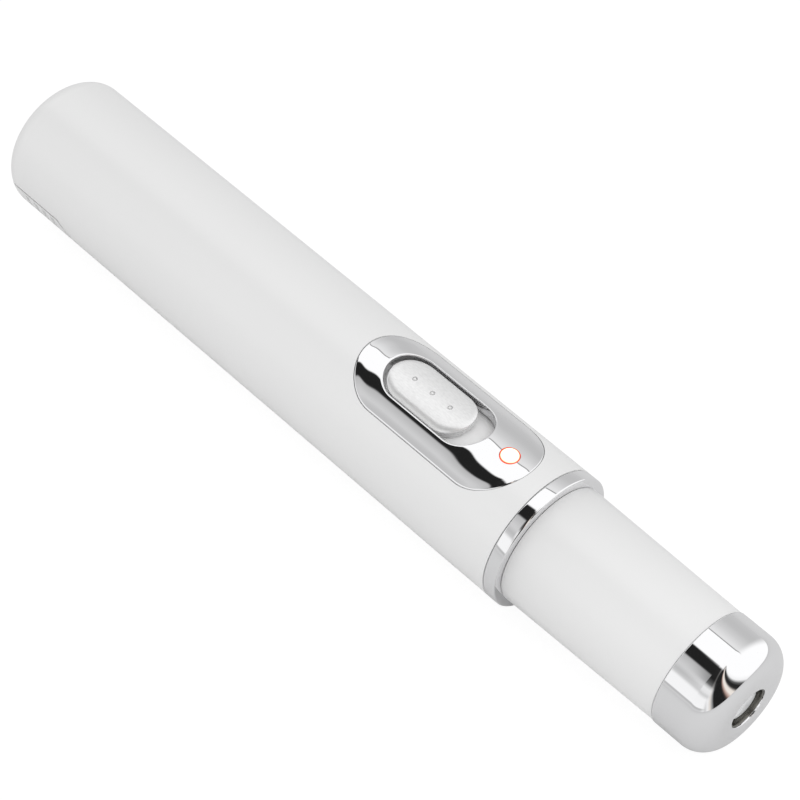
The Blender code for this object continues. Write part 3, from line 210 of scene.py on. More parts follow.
def finish_mesh(name, shape, sharp=30):
    bmesh.ops.recalc_face_normals(shape, faces=shape.faces)
    mesh = bpy.data.meshes.new(name)
    shape.to_mesh(mesh)
    shape.free()
    mesh.shade_smooth()
    mesh.set_sharp_from_angle(angle=math.radians(sharp))
    return mesh


def arc(centre, radii, start, end, steps=16):
    turn = [math.radians(start + (end - start) * i / steps) for i in range(steps + 1)]
    return [(centre[0] + radii[0] * math.cos(a), centre[1] + radii[1] * math.sin(a)) for a in turn]


def stadium_loop(centre, reach, radius, end_steps=48, side_steps=40):
    """Points of a stadium's outline in plan, from the +X end's -Y corner, counter-clockwise."""
    outline = []
    for end in (1, -1):
        for i in range(end_steps):
            angle = math.pi * (i / end_steps - 0.5)
            outline.append((
                centre + end * (reach + radius * math.cos(angle)), end * radius * math.sin(angle)))
        for i in range(side_steps):
            outline.append((centre + end * reach * (1 - 2 * i / side_steps), end * radius))
    return outline


def stadium_depth(x, y, centre, reach, radius):
    """How far a point lies inside a stadium's outline, in plan."""
    away = max(-reach, min(reach, x - centre))
    return radius - math.hypot(x - centre - away, y)


def prism_mesh(name, outline, low, high, plane="xy"):
    """Extrude an outline upright, or across the pen when its plane is xz."""
    shape = bmesh.new()
    if plane == "xy":
        corners = [shape.verts.new((x, y, low)) for x, y in outline]
        step = (0, 0, high - low)
    else:
        corners = [shape.verts.new((x, low, z)) for x, z in outline]
        step = (0, high - low, 0)
    face = shape.faces.new(corners)
    raised = bmesh.ops.extrude_face_region(shape, geom=[face])
    moved = [part for part in raised["geom"] if isinstance(part, bmesh.types.BMVert)]
    bmesh.ops.translate(shape, verts=moved, vec=step)
    return finish_mesh(name, shape)


def box_mesh(name, low, high):
    low, high = [Vector([f(a, b) for a, b in zip(low, high)]) for f in (min, max)]
    shape = bmesh.new()
    place = Matrix.Translation((low + high) / 2) @ Matrix.Diagonal((*(high - low), 1))
    bmesh.ops.create_cube(shape, size=1, matrix=place)
    return finish_mesh(name, shape)


def combine(name, base, steps):
    """Apply Boolean steps of (operation, mesh) to a mesh."""
    item = bpy.data.objects.new(name + "_work", base)
    bpy.context.scene.collection.objects.link(item)
    tools = []
    for operation, mesh in steps:
        tool = bpy.data.objects.new(name + "_tool", mesh)
        bpy.context.scene.collection.objects.link(tool)
        tools.append(tool)
        cut = item.modifiers.new("cut", "BOOLEAN")
        cut.operation = operation
        cut.solver = "EXACT"
        cut.object = tool
    bpy.context.view_layer.update()
    graph = bpy.context.evaluated_depsgraph_get()
    made = bpy.data.meshes.new_from_object(item.evaluated_get(graph))
    made.name = name
    for spent in [item, *tools]:
        mesh = spent.data
        bpy.data.objects.remove(spent)
        bpy.data.meshes.remove(mesh)
    made.materials.clear()
    made.shade_smooth()
    made.set_sharp_from_angle(angle=math.radians(30))
    return made


def true_normals(mesh, rule, least=0.8):
    """Give the corners on a known surface its own normals, so that cuts leave no ripple in the gloss."""
    normals = [Vector(corner.vector) for corner in mesh.corner_normals]
    for face in mesh.polygons:
        for corner in face.loop_indices:
            place = mesh.vertices[mesh.loops[corner].vertex_index].co
            normal = rule(place)
            if normal is not None and normal.dot(face.normal) > least:
                normals[corner] = normal
    mesh.normals_split_custom_set(normals)


def case_normal(place):
    """The normal of the case's outer surface of revolution, or None away from it."""
    radius = math.hypot(place.y, place.z)
    if radius < NEAR_AXIS:
        return None
    out = Vector((0, place.y / radius, place.z / radius))
    if place.x >= REAR_FILLET_LENGTH:
        return out if abs(radius - BODY_RADIUS) < NEAR_SKIN else None
    if radius <= REAR_FLAT_RADIUS:
        return Vector((-1, 0, 0)) if place.x < NEAR_FLAT else None
    along = (place.x - REAR_FILLET_LENGTH) / REAR_FILLET_LENGTH
    across = (radius - REAR_FLAT_RADIUS) / REAR_FILLET_DEPTH
    if abs(math.hypot(along, across) - 1) > NEAR_FILLET_SHARE:
        return None
    return (Vector((along / REAR_FILLET_LENGTH, 0, 0)) + out * (across / REAR_FILLET_DEPTH)).normalized()


def case_mesh(name):
    inner_fillet = REAR_FILLET_DEPTH - BODY_WALL
    corner = (REAR_FILLET_LENGTH, REAR_FLAT_RADIUS)
    inside = arc(corner, (REAR_FILLET_LENGTH - BODY_WALL, inner_fillet), 180, 90)
    outside = arc(corner, (REAR_FILLET_LENGTH, REAR_FILLET_DEPTH), 90, 180, 32)
    return turned_mesh(name, [
        (BODY_WALL, 0), *inside, (BODY_LENGTH, BODY_INNER), (BODY_LENGTH, BODY_RADIUS), *outside, (0, 0)])


def door_outline(gap):
    """Side view of the part of the case that the door takes, wider by a gap."""
    return [
        (-OVERRUN, DOOR_EAR + gap), (DOOR_EAR_FRONT + gap / 2, DOOR_EAR + gap),
        (DOOR_EAR_FRONT + DOOR_EAR_SLOPE + gap / 2, DOOR_EDGE + gap), (DOOR_FRONT + gap, DOOR_EDGE + gap),
        (DOOR_FRONT + gap, -BODY_RADIUS - OVERRUN), (-OVERRUN, -BODY_RADIUS - OVERRUN)]


def build_case():
    wide = BODY_RADIUS + OVERRUN
    seat_steps = stadium_loop(BEZEL_CENTRE, BEZEL_REACH, BEZEL_WIDTH / 2 + SEAT_GAP)
    seat = combine("seat", prism_mesh("seat", seat_steps, 0, wide), [
        ("DIFFERENCE", turned_mesh("core", [
            (BODY_LENGTH, 0), (BODY_LENGTH, SEAT_FLOOR), (0, SEAT_FLOOR), (0, 0)]))])
    opening = stadium_loop(OPENING_CENTRE, OPENING_REACH, OPENING_RADIUS)
    steps = [("DIFFERENCE", prism_mesh("door_space", door_outline(SEAM), -wide, wide, "xz"))]
    for side in (1, -1):
        low, high = (LEDGE_REAR, side * LEDGE_INNER, LEDGE_LOW), (DOOR_FRONT, side * LEDGE_OUTER, LEDGE_TOP)
        steps.append(("UNION", box_mesh("ledge", low, high)))
    steps += [("DIFFERENCE", seat), ("DIFFERENCE", prism_mesh("opening", opening, 0, wide))]
    mesh = combine("case_shell", case_mesh("case_shell"), steps)
    true_normals(mesh, case_normal)
    return mesh


def build_door():
    wide = BODY_RADIUS + OVERRUN
    steps = [("INTERSECT", prism_mesh("door_region", door_outline(0), -wide, wide, "xz"))]
    for side in (1, -1):
        web = box_mesh(
            "web", (RAIL_REAR, side * RAIL_INNER, RAIL_LOW), (RAIL_FRONT, side * WEB_OUTER, RAIL_TOP))
        hook = box_mesh(
            "hook", (RAIL_REAR, side * RAIL_INNER, HOOK_LOW), (RAIL_FRONT, side * HOOK_OUTER, RAIL_TOP))
        steps.append(("UNION", combine("rail", web, [("UNION", hook)])))
    tongue = turned_mesh("tongue", [
        (TONGUE_REAR, TONGUE_INNER), (TONGUE_FRONT, TONGUE_INNER), (TONGUE_FRONT, TONGUE_LIP),
        (TONGUE_STEP, TONGUE_LIP), (TONGUE_STEP, TONGUE_OUTER), (TONGUE_REAR, TONGUE_OUTER)])
    way = turned_mesh("way", [
        (CELL_WAY_FRONT, 0), (CELL_WAY_FRONT, CELL_WAY_RADIUS), (CELL_WAY_REAR, CELL_WAY_RADIUS),
        (CELL_WAY_REAR, 0)])
    way.transform(Matrix.Translation((0, 0, -CELL_DROP)))
    wedge = box_mesh("wedge", (0, -TONGUE_SIDE, -BODY_RADIUS), (PAST_DOOR, TONGUE_SIDE, 0))
    tongue = combine("tongue", tongue, [("INTERSECT", wedge), ("DIFFERENCE", way)])
    steps.append(("UNION", tongue))
    for share in RIB_SHARES:
        rear = DOOR_FRONT * share
        front = rear + RIB_WIDTH
        rib = turned_mesh("rib", [
            (rear, RIB_INNER), (front, RIB_INNER), (front, RIB_OUTER), (rear, RIB_OUTER)])
        wedge = box_mesh("wedge", (0, -RIB_SIDE, -BODY_RADIUS), (PAST_DOOR, RIB_SIDE, RIB_TOP))
        steps.append(("UNION", combine("rib", rib, [("INTERSECT", wedge)])))
    for i in range(GROOVE_COUNT):
        rear = GROOVE_REAR + i * GROOVE_PITCH
        front = rear + GROOVE_WIDTH
        brim, floor = BODY_RADIUS - GROOVE_EDGE, BODY_RADIUS - GROOVE_DEPTH
        groove = turned_mesh("groove", [
            (rear, brim), (rear + GROOVE_EDGE, floor), (front - GROOVE_EDGE, floor), (front, brim),
            (front, wide), (rear, wide)])
        band = box_mesh("band", (0, -2 * wide, GROOVE_LOW), (PAST_DOOR, 2 * wide, GROOVE_TOP))
        steps.append(("DIFFERENCE", combine("groove", groove, [("INTERSECT", band)])))
    mesh = combine("door", case_mesh("door"), steps)
    true_normals(mesh, case_normal)
    return mesh


def plate_height(x, y):
    """Top of the chrome plate: the case's curve, a rounded rim, a collar and a rolled lip at the slot."""
    height = math.sqrt(BEZEL_TOP ** 2 - y ** 2)
    depth = max(0, stadium_depth(x, y, BEZEL_CENTRE, BEZEL_REACH, BEZEL_WIDTH / 2))
    away = max(0, -stadium_depth(x, y, SLOT_CENTRE, SLOT_REACH, SLOT_WIDTH / 2))
    if depth < RIM_ROUND:
        height -= RIM_ROUND - math.sqrt(max(0, RIM_ROUND ** 2 - (RIM_ROUND - depth) ** 2))
    height -= RIM_SLOPE * math.exp(-(depth / RIM_SLOPE_REACH) ** 2)
    if away < LIP_REACH:
        share = (LIP_REACH - away) / LIP_REACH
        height -= LIP_DROP * (1 - math.sqrt(max(0, 1 - share ** 2)))
    return height + COLLAR_RISE * math.exp(-(away / COLLAR_REACH) ** 2)


def button_height(x, y):
    """Top of the button: crowned, with a rounded edge and three ring-shaped dimples."""
    height = math.sqrt(BUTTON_TOP ** 2 - y ** 2)
    depth = max(0, stadium_depth(x, y, BUTTON_CENTRE, BUTTON_REACH, BUTTON_WIDTH / 2))
    if depth < BUTTON_ROUND:
        share = (BUTTON_ROUND - depth) / BUTTON_ROUND
        height -= BUTTON_DROP * (1 - math.sqrt(max(0, 1 - share ** 2)))
    for i in (-1, 0, 1):
        away = math.hypot(x - BUTTON_CENTRE - i * DIMPLE_PITCH, y)
        height -= DIMPLE_DEPTH * math.exp(-((away - DIMPLE_RING) / DIMPLE_SPREAD) ** 2)
    return height


def height_normal(height, x, y, step=2e-6):
    east = height(x + step, y) - height(x - step, y)
    north = height(x, y + step) - height(x, y - step)
    return Vector((-east, -north, 2 * step)).normalized()


def loft(name, loops, closed, cap=0, sharp=40):
    """Skin loops of as many points each. The last closes on the first, or zips up along a stadium."""
    shape = bmesh.new()
    rings = [[shape.verts.new(p) for p in loop] for loop in loops]
    pairs = list(zip(rings, rings[1:])) + ([(rings[-1], rings[0])] if closed else [])
    for a, b in pairs:
        count = len(a)
        for i in range(count):
            j = (i + 1) % count
            shape.faces.new((a[i], a[j], b[j], b[i]))
    if cap:
        shape.faces.new(rings[0])
        last, half = rings[-1], len(rings[-1]) // 2
        for end in (0, half):
            shape.faces.new(last[end:end + cap + 1])
        for i in range(half - cap):
            a, b = cap + i, (2 * half - i) % (2 * half)
            shape.faces.new((last[a], last[a + 1], last[b - 1], last[b]))
    return finish_mesh(name, shape, sharp)


def build_plate():
    outer = EDGE_STEPS + [LOOP_STEP * i for i in range(4, 22)]
    inner = [LOOP_STEP * i for i in range(14, 1, -1)] + LIP_STEPS
    flat = [stadium_loop(BEZEL_CENTRE, BEZEL_REACH, BEZEL_WIDTH / 2 - d) for d in outer]
    near = [stadium_loop(SLOT_CENTRE, SLOT_REACH, SLOT_WIDTH / 2 + e) for e in inner]
    middle = []
    for k in range(1, MIDDLE_LOOPS):
        t = k / MIDDLE_LOOPS
        middle.append([
            (a[0] * (1 - t) + b[0] * t, a[1] * (1 - t) + b[1] * t) for a, b in zip(flat[-1], near[0])])
    top = [[(x, y, plate_height(x, y)) for x, y in loop] for loop in flat + middle + near]

    def dropped(loop, radius):
        return [(x, y, math.sqrt(radius ** 2 - y ** 2)) for x, y in loop]

    skirt = stadium_loop(SLOT_CENTRE, SLOT_REACH, SLOT_WIDTH / 2 + PLATE_SKIRT)
    loops = top + [
        dropped(near[-1], PLATE_LOW), dropped(skirt, PLATE_LOW), dropped(skirt, PLATE_SHELF),
        dropped(flat[0], PLATE_SHELF)]
    mesh = loft("plate", loops, closed=True)
    hole = upright_mesh("lamp_hole", [
        (LAMP_HOLE_HIGH, 0), (LAMP_HOLE_HIGH, LAMP_HOLE), (LAMP_HOLE_LOW, LAMP_HOLE), (LAMP_HOLE_LOW, 0)], 96)
    mesh = combine("chrome_plate", mesh, [("DIFFERENCE", hole)])

    def rule(place):
        top_here = plate_height(place.x, place.y)
        return height_normal(plate_height, place.x, place.y) if abs(place.z - top_here) < NEAR_TOP else None

    true_normals(mesh, rule, 0.6)
    return mesh


def build_button():
    def loop_of(radius):
        return stadium_loop(BUTTON_CENTRE, BUTTON_REACH, radius, BUTTON_END_STEPS, BUTTON_SIDE_STEPS)

    steps = EDGE_STEPS + [BUTTON_LOOP_STEP * i for i in range(2, 33)]
    steps += [BUTTON_MIDDLE + BUTTON_LAST_STEP * i for i in range(24)]
    flat = [loop_of(BUTTON_WIDTH / 2 - d) for d in steps] + [loop_of(EDGE_STEPS[1])]
    top = [[(x, y, button_height(x, y)) for x, y in loop] for loop in flat]
    walls = []
    for share, groove in BUTTON_WALL_SHARES:
        loop = loop_of(BUTTON_WIDTH / 2 - groove * BUTTON_RIDGE)
        walls.append([
            (x, y, button_height(u, v) * (1 - share) + math.sqrt(BUTTON_LOW ** 2 - v ** 2) * share)
            for (x, y), (u, v) in zip(loop, flat[0])])
    return loft("button", walls[::-1] + top, closed=False, cap=BUTTON_END_STEPS)


# Materials
def surface(name, colour, roughness, metallic=0.0, tint=0.03, tint_scale=90, grain=0.04, grain_scale=1500,
            bump=0.05, bump_depth=0.00001, stretch=(1, 1, 1), **sockets):
    """A Principled material with faint colour drift, uneven gloss and a fine moulded or drawn grain."""
    made = bpy.data.materials.new(name)
    made.use_nodes = True
    tree = made.node_tree
    shader = tree.nodes["Principled BSDF"]
    shader.inputs["Metallic"].default_value = metallic
    for socket, value in sockets.items():
        shader.inputs[socket.replace("_", " ")].default_value = value
    place = tree.nodes.new("ShaderNodeTexCoord")
    scale = tree.nodes.new("ShaderNodeMapping")
    scale.inputs["Scale"].default_value = stretch
    tree.links.new(place.outputs["Object"], scale.inputs["Vector"])
    drift = tree.nodes.new("ShaderNodeTexNoise")
    drift.inputs["Scale"].default_value = tint_scale
    drift.inputs["Detail"].default_value = 4
    fine = tree.nodes.new("ShaderNodeTexNoise")
    fine.inputs["Scale"].default_value = grain_scale
    fine.inputs["Detail"].default_value = 3
    for noise in (drift, fine):
        tree.links.new(scale.outputs["Vector"], noise.inputs["Vector"])
    mix = tree.nodes.new("ShaderNodeMix")
    mix.data_type = "RGBA"
    mix.inputs["A"].default_value = (*[c * (1 - tint) for c in colour], 1)
    mix.inputs["B"].default_value = (*[min(1, c * (1 + tint)) for c in colour], 1)
    tree.links.new(drift.outputs[0], mix.inputs["Factor"])
    tree.links.new(mix.outputs["Result"], shader.inputs["Base Color"])
    gloss = tree.nodes.new("ShaderNodeMapRange")
    gloss.inputs["To Min"].default_value = max(0, roughness - grain)
    gloss.inputs["To Max"].default_value = roughness + grain
    tree.links.new(fine.outputs[0], gloss.inputs["Value"])
    tree.links.new(gloss.outputs[0], shader.inputs["Roughness"])
    relief = tree.nodes.new("ShaderNodeBump")
    relief.inputs["Strength"].default_value = bump
    relief.inputs["Distance"].default_value = bump_depth
    tree.links.new(fine.outputs[0], relief.inputs["Height"])
    tree.links.new(relief.outputs["Normal"], shader.inputs["Normal"])
    return made


def lamp_glow(name, centre, axes, radius, core, middle, rim, strength):
    """Epoxy that glows white from its middle, then amber, with the chip's red round its edge."""
    made = surface(name, (0.95, 0.80, 0.68), 0.12, tint=0.02, bump=0.02)
    tree = made.node_tree
    shader = tree.nodes["Principled BSDF"]
    place = tree.nodes.new("ShaderNodeTexCoord")
    offset = tree.nodes.new("ShaderNodeVectorMath")
    offset.operation = "SUBTRACT"
    offset.inputs[1].default_value = centre
    tree.links.new(place.outputs["Object"], offset.inputs[0])
    flat = tree.nodes.new("ShaderNodeVectorMath")
    flat.operation = "MULTIPLY"
    flat.inputs[1].default_value = axes
    tree.links.new(offset.outputs[0], flat.inputs[0])
    away = tree.nodes.new("ShaderNodeVectorMath")
    away.operation = "LENGTH"
    tree.links.new(flat.outputs[0], away.inputs[0])
    share = tree.nodes.new("ShaderNodeMapRange")
    share.inputs["From Max"].default_value = radius
    tree.links.new(away.outputs["Value"], share.inputs["Value"])
    ramp = tree.nodes.new("ShaderNodeValToRGB")
    ramp.color_ramp.elements[0].position = 0.66
    ramp.color_ramp.elements[0].color = (*core, 1)
    ramp.color_ramp.elements[1].position = 0.94
    ramp.color_ramp.elements[1].color = (*rim, 1)
    ramp.color_ramp.elements.new(0.84).color = (*middle, 1)
    tree.links.new(share.outputs[0], ramp.inputs[0])
    tree.links.new(ramp.outputs["Color"], shader.inputs["Emission Color"])
    tree.links.new(ramp.outputs["Color"], shader.inputs["Base Color"])
    shader.inputs["Emission Strength"].default_value = strength
    return made


def cell_film(name):
    """Blue film with a black band at its minus end and bare steel at both ends, again on the next cell."""
    made = surface(name, (0.10, 0.22, 0.45), 0.28, tint=0.08, bump=0.05)
    tree = made.node_tree
    shader = tree.nodes["Principled BSDF"]
    place = tree.nodes.new("ShaderNodeTexCoord")
    split = tree.nodes.new("ShaderNodeSeparateXYZ")
    tree.links.new(place.outputs["Object"], split.inputs[0])
    along = tree.nodes.new("ShaderNodeMapRange")
    along.inputs["From Max"].default_value = CELL_LENGTH + NUB_LENGTH
    tree.links.new(split.outputs["X"], along.inputs["Value"])
    for stops, socket in ((CELL_COLOURS, "Base Color"), (CELL_STEEL, "Metallic")):
        ramp = tree.nodes.new("ShaderNodeValToRGB")
        ramp.color_ramp.interpolation = "CONSTANT"
        elements = ramp.color_ramp.elements
        elements.remove(elements[-1])
        for i, (share, tone) in enumerate(stops):
            element = elements[0] if i == 0 else elements.new(share)
            element.position = share
            element.color = (*tone, 1)
        tree.links.new(along.outputs[0], ramp.inputs[0])
        tree.links.new(ramp.outputs["Color"], shader.inputs[socket])
    return made


WHITE = surface("white_abs_gloss", (0.80, 0.80, 0.80), 0.30, tint=0.006, tint_scale=60, grain=0.015,
                grain_scale=1200, bump=0.012)
CHROME = surface("chrome_plating", (0.90, 0.90, 0.91), 0.03, 1, tint=0.010, tint_scale=150, grain=0.006,
                 grain_scale=700, bump=0.008)
SATIN = surface("satin_silver_plating", (0.88, 0.88, 0.88), 0.36, 0.6, tint=0.14, tint_scale=4500, grain=0.08,
                grain_scale=6000, bump=0.05, stretch=(0.35, 1, 1))
PALE = surface("pale_plastic_matt", (0.88, 0.88, 0.88), 0.42, tint=0.02, bump=0.05)
LENS = surface("clear_lens_acrylic", (0.74, 0.75, 0.76), 0.25, tint=0.01, grain=0.02, bump=0.01,
               Coat_Weight=0.3, Coat_Roughness=0.05)
# Dark metal for the sleeve in the tip's bore: painted shade, the dark crescent of shadow inside the tip's
# hole
SHADE_SLEEVE = surface("shade_sleeve_dark_metal", (0.16, 0.155, 0.14), 0.22, 0.8, tint=0.15, tint_scale=900, bump=0.05)
LAMP = lamp_glow("indicator_lamp_glow", (LAMP_PLACE, 0, 0), (1, 1, 0), LAMP_RADIUS,
                 (1, 0.97, 0.94), (1, 0.74, 0.45), (0.5, 0.05, 0.025), 1.3)
CELL = cell_film("cell_film_and_steel")
INNER = {
    "led_holder": PALE,
    "treatment_led": surface("lamp_epoxy_diffused", (0.95, 0.90, 0.84), 0.12, tint=0.02),
    "inner_chassis": surface("grey_tray_plastic", (0.35, 0.36, 0.37), 0.45, tint=0.05, bump=0.15),
    "nickel": surface("nickel_steel_plated", (0.60, 0.60, 0.58), 0.24, 1, tint=0.06, grain=0.08,
                      stretch=(1, 1, 0.2), bump=0.1),
    "eccentric_weight": surface("weight_sintered", (0.45, 0.43, 0.40), 0.42, 1, tint=0.12, tint_scale=900,
                                bump=0.4),
    "motor_holder": surface("grey_silicone_soft", (0.50, 0.50, 0.50), 0.70, tint=0.05, bump=0.2),
    "board": surface("board_solder_mask", (0.02, 0.20, 0.08), 0.35, tint=0.18, tint_scale=700, bump=0.15),
    "black": surface("black_plastic_matt", (0.03, 0.03, 0.03), 0.45, tint=0.2, bump=0.2),
    "red_wire": surface("red_wire_insulation", (0.55, 0.03, 0.03), 0.50, tint=0.08, bump=0.1),
    "black_wire": surface("black_wire_insulation", (0.02, 0.02, 0.02), 0.50, tint=0.2, bump=0.1),
    "resistor": surface("resistor_ceramic", (0.35, 0.36, 0.37), 0.45, tint=0.3, tint_scale=1500, bump=0.2),
}
NODE_FINISH = {
    "board": ("main_board", "led_board"),
    "black": ("driver_chip", "board_capacitor", "switch_lever"),
    "nickel": ("battery_spring", "spring_plate", "positive_contact", "slide_switch", "board_screw_rear",
               "board_screw_front", "vibration_motor", "motor_shaft"),
    "red_wire": ("positive_wire", "motor_wire_red", "led_wire_red"),
    "black_wire": ("negative_wire", "motor_wire_black", "led_wire_black"),
    "resistor": ("board_resistor_1", "board_resistor_2", "board_resistor_3"),
}
for finish, nodes in NODE_FINISH.items():
    for node in nodes:
        INNER[node] = INNER[finish]
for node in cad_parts:
    item = bpy.data.objects.get(node)
    if item and node in INNER:
        for place in item.material_slots:
            place.material = INNER[node]

# Pieces
ring = [
    (RING_REAR, RING_SEAT), (RING_REAR, BODY_RADIUS - RING_EDGE),
    *arc((RING_REAR + RING_EDGE, BODY_RADIUS - RING_EDGE), (RING_EDGE, RING_EDGE), 180, 90, 6),
    *arc((RING_FRONT - RING_EDGE, BODY_RADIUS - RING_EDGE), (RING_EDGE, RING_EDGE), 90, 0, 6),
    (RING_FRONT, RING_BORE), (RING_SPIGOT, RING_BORE), (RING_SPIGOT, RING_SEAT)]
barrel = [
    (SPIGOT_REAR, SPIGOT_BORE), (BARREL_REAR, SPIGOT_BORE), (BARREL_REAR, BARREL_BORE),
    (BARREL_NECK, BARREL_BORE), (BARREL_NECK, BARREL_NECK_RADIUS), (BARREL_FRONT, BARREL_NECK_RADIUS),
    (BARREL_FRONT, BARREL_FRONT_RADIUS - BARREL_EDGE),
    (BARREL_FRONT - BARREL_EDGE / 3, BARREL_FRONT_RADIUS - BARREL_EDGE / 3),
    (BARREL_FRONT - BARREL_EDGE, BARREL_FRONT_RADIUS), (BARREL_REAR + 2 * TENTH, BARREL_REAR_RADIUS),
    (BARREL_REAR, BARREL_REAR_RADIUS - TENTH), (BARREL_REAR, SPIGOT_RADIUS), (SPIGOT_REAR, SPIGOT_RADIUS)]
corner = (TIP_END - TIP_FILLET, TIP_RADIUS - TIP_FILLET)
tip = [
    (TIP_REAR, TIP_RADIUS - TIP_WALL),
    *arc(corner, (TIP_FILLET - TIP_WALL, TIP_FILLET - TIP_WALL), 90, 0, 24),
    (TIP_END - TIP_WALL, TIP_HOLE), (TIP_END - TENTH, TIP_HOLE),
    (TIP_END - 0.3 * TENTH, TIP_HOLE + 0.3 * TENTH), (TIP_END, TIP_HOLE + TENTH),
    *arc(corner, (TIP_FILLET, TIP_FILLET), 0, 90, 48), (TIP_REAR + TENTH, TIP_RADIUS),
    (TIP_REAR, TIP_RADIUS - TENTH)]
# Profile of the dark sleeve that paints the shade in the tip's bore
shade_sleeve = [
    (SHADE_SLEEVE_REAR, SHADE_SLEEVE_BORE), (SHADE_SLEEVE_FRONT - 2 * TENTH, SHADE_SLEEVE_BORE),
    (SHADE_SLEEVE_FRONT - 0.5 * TENTH, SHADE_SLEEVE_BORE + 0.6 * TENTH), (SHADE_SLEEVE_FRONT, SHADE_SLEEVE_RADIUS - 0.8 * TENTH),
    (SHADE_SLEEVE_FRONT, SHADE_SLEEVE_RADIUS), (SHADE_SLEEVE_REAR, SHADE_SLEEVE_RADIUS)]
lens = [
    (LENS_FACE, 0), (LENS_FACE - 0.2 * TENTH, LENS_RADIUS - 8.5 * TENTH),
    (LENS_FACE - TENTH, LENS_RADIUS - 2.5 * TENTH), (LENS_FACE - 3 * TENTH, LENS_RADIUS - 0.3 * TENTH),
    (LENS_STEP, LENS_RADIUS), (LENS_STEP, LENS_FLANGE), (LENS_BACK, LENS_FLANGE), (LENS_BACK, 0)]


def indicator_mesh():
    mesh = upright_mesh("indicator", [
        *arc((LAMP_TOP - LAMP_DOME, 0), (LAMP_DOME, LAMP_RADIUS), 0, 90, 24), (LAMP_SHOULDER, LAMP_RADIUS),
        (LAMP_SHOULDER, LAMP_FLANGE_RADIUS), (LAMP_FOOT, LAMP_FLANGE_RADIUS), (LAMP_FOOT, 0)], 96)
    leg = [(LAMP_SHOULDER, 0), (LAMP_SHOULDER, LEG_RADIUS), (LEG_END, LEG_RADIUS), (LEG_END, 0)]
    legs = [("UNION", upright_mesh("leg", leg, 24, side * LEG_OFFSET)) for side in (1, -1)]
    return combine("indicator", mesh, legs)


def shutter_mesh():
    shape = turned_mesh("shutter", [
        (SHUTTER_REAR, SHUTTER_LOW), (SHUTTER_FRONT, SHUTTER_LOW), (SHUTTER_FRONT, SHUTTER_TOP),
        (SHUTTER_REAR, SHUTTER_TOP)])
    width = box_mesh("width", (0, -SHUTTER_SIDE, 0), (PAST_DOOR, SHUTTER_SIDE, OVER_BUTTON))
    hole = box_mesh("stem", (SHUTTER_HOLE_REAR, -SHUTTER_HOLE_SIDE, 0), (
        SHUTTER_HOLE_FRONT, SHUTTER_HOLE_SIDE, OVER_BUTTON))
    return combine("shutter", shape, [("INTERSECT", width), ("DIFFERENCE", hole)])


def button_mesh():
    stem = box_mesh("stem", (STEM_REAR, -STEM_SIDE, STEM_LOW), (STEM_FRONT, STEM_SIDE, STEM_TOP))
    pocket = box_mesh(
        "pocket", (POCKET_REAR, -POCKET_SIDE, POCKET_LOW), (POCKET_FRONT, POCKET_SIDE, POCKET_TOP))
    mesh = combine("slide_button_fine", build_button(), [("UNION", stem), ("DIFFERENCE", pocket)])

    def rule(place):
        top_here = button_height(place.x, place.y)
        return height_normal(button_height, place.x, place.y) if abs(place.z - top_here) < NEAR_TOP else None

    true_normals(mesh, rule, 0.5)
    return mesh


def cell_mesh():
    """A cell from its minus face, with a film lip, a crimp groove and a stepped plus nub."""
    front, nub = CELL_LENGTH, CELL_LENGTH + NUB_LENGTH
    profile = [
        (nub, 0), (nub, NUB_RADIUS - 3 * TENTH), (nub - TENTH, NUB_RADIUS - TENTH),
        (nub - 3 * TENTH, NUB_RADIUS), (front - 2 * TENTH, NUB_RADIUS),
        (front - 2 * TENTH, DISH_RADIUS - TENTH), (front - 4 * TENTH, DISH_RADIUS),
        (front - 4 * TENTH, DISH_RADIUS + 5 * TENTH),
        (front - TENTH, DISH_RADIUS + 7 * TENTH), (front, DISH_RADIUS + 10 * TENTH),
        (front, CELL_RADIUS - 6 * TENTH),
        *arc((front - 4 * TENTH, CELL_RADIUS - 6 * TENTH), (4 * TENTH, 4 * TENTH), 0, 90, 6),
        (front - 9 * TENTH, CELL_RADIUS - 2 * TENTH), (front - 10 * TENTH, CELL_RADIUS - 3 * TENTH),
        (front - 12 * TENTH, CELL_RADIUS - 3 * TENTH), (front - 13 * TENTH, CELL_RADIUS - TENTH),
        (front - 15 * TENTH, CELL_RADIUS), (5 * TENTH, CELL_RADIUS), (3.5 * TENTH, CELL_RADIUS - TENTH),
        (3.5 * TENTH, CELL_RADIUS - 2 * TENTH),
        *arc((3 * TENTH, CELL_RADIUS - 5 * TENTH), (3 * TENTH, 3 * TENTH), 90, 180, 6),
        (0, BASE_RADIUS), (2 * TENTH, BASE_RADIUS - 2 * TENTH), (2 * TENTH, 0)]
    return turned_mesh("cell", profile, 128)


PIECES = (
    ("case_shell", build_case, WHITE, "case", "body_shell", "white_abs"),
    ("battery_cover", build_door, WHITE, "door", "battery_door", "white_abs"),
    ("barrel_sleeve", lambda: turned_mesh("barrel", barrel), WHITE, "case", "front_barrel", "white_abs"),
    ("chrome_ring", lambda: turned_mesh("ring", ring), CHROME, "case", "front_ring", "chrome_trim"),
    ("chrome_tip", lambda: turned_mesh("tip", tip), CHROME, "case", "tip_cap", "chrome_trim"),
    ("chrome_plate", build_plate, CHROME, "case", "switch_bezel", "chrome_trim"),
    ("satin_button", button_mesh, SATIN, "switch_slider", "slide_button", "satin_silver"),
    ("slot_shutter", shutter_mesh, PALE, "switch_slider", "button_shutter", "pale_plastic"),
    ("tip_window", lambda: turned_mesh("lens", lens, 128), LENS, "case", "tip_lens", "clear_lens"),
    # The dark sleeve is no real part: it paints the shade inside the tip's hole
    ("tip_shade_sleeve", lambda: turned_mesh("shade_sleeve", shade_sleeve, 128), SHADE_SLEEVE, "case", None, "black_plastic"),
    ("indicator_lamp", indicator_mesh, LAMP, "case", "indicator_led", "lamp_epoxy"),
)
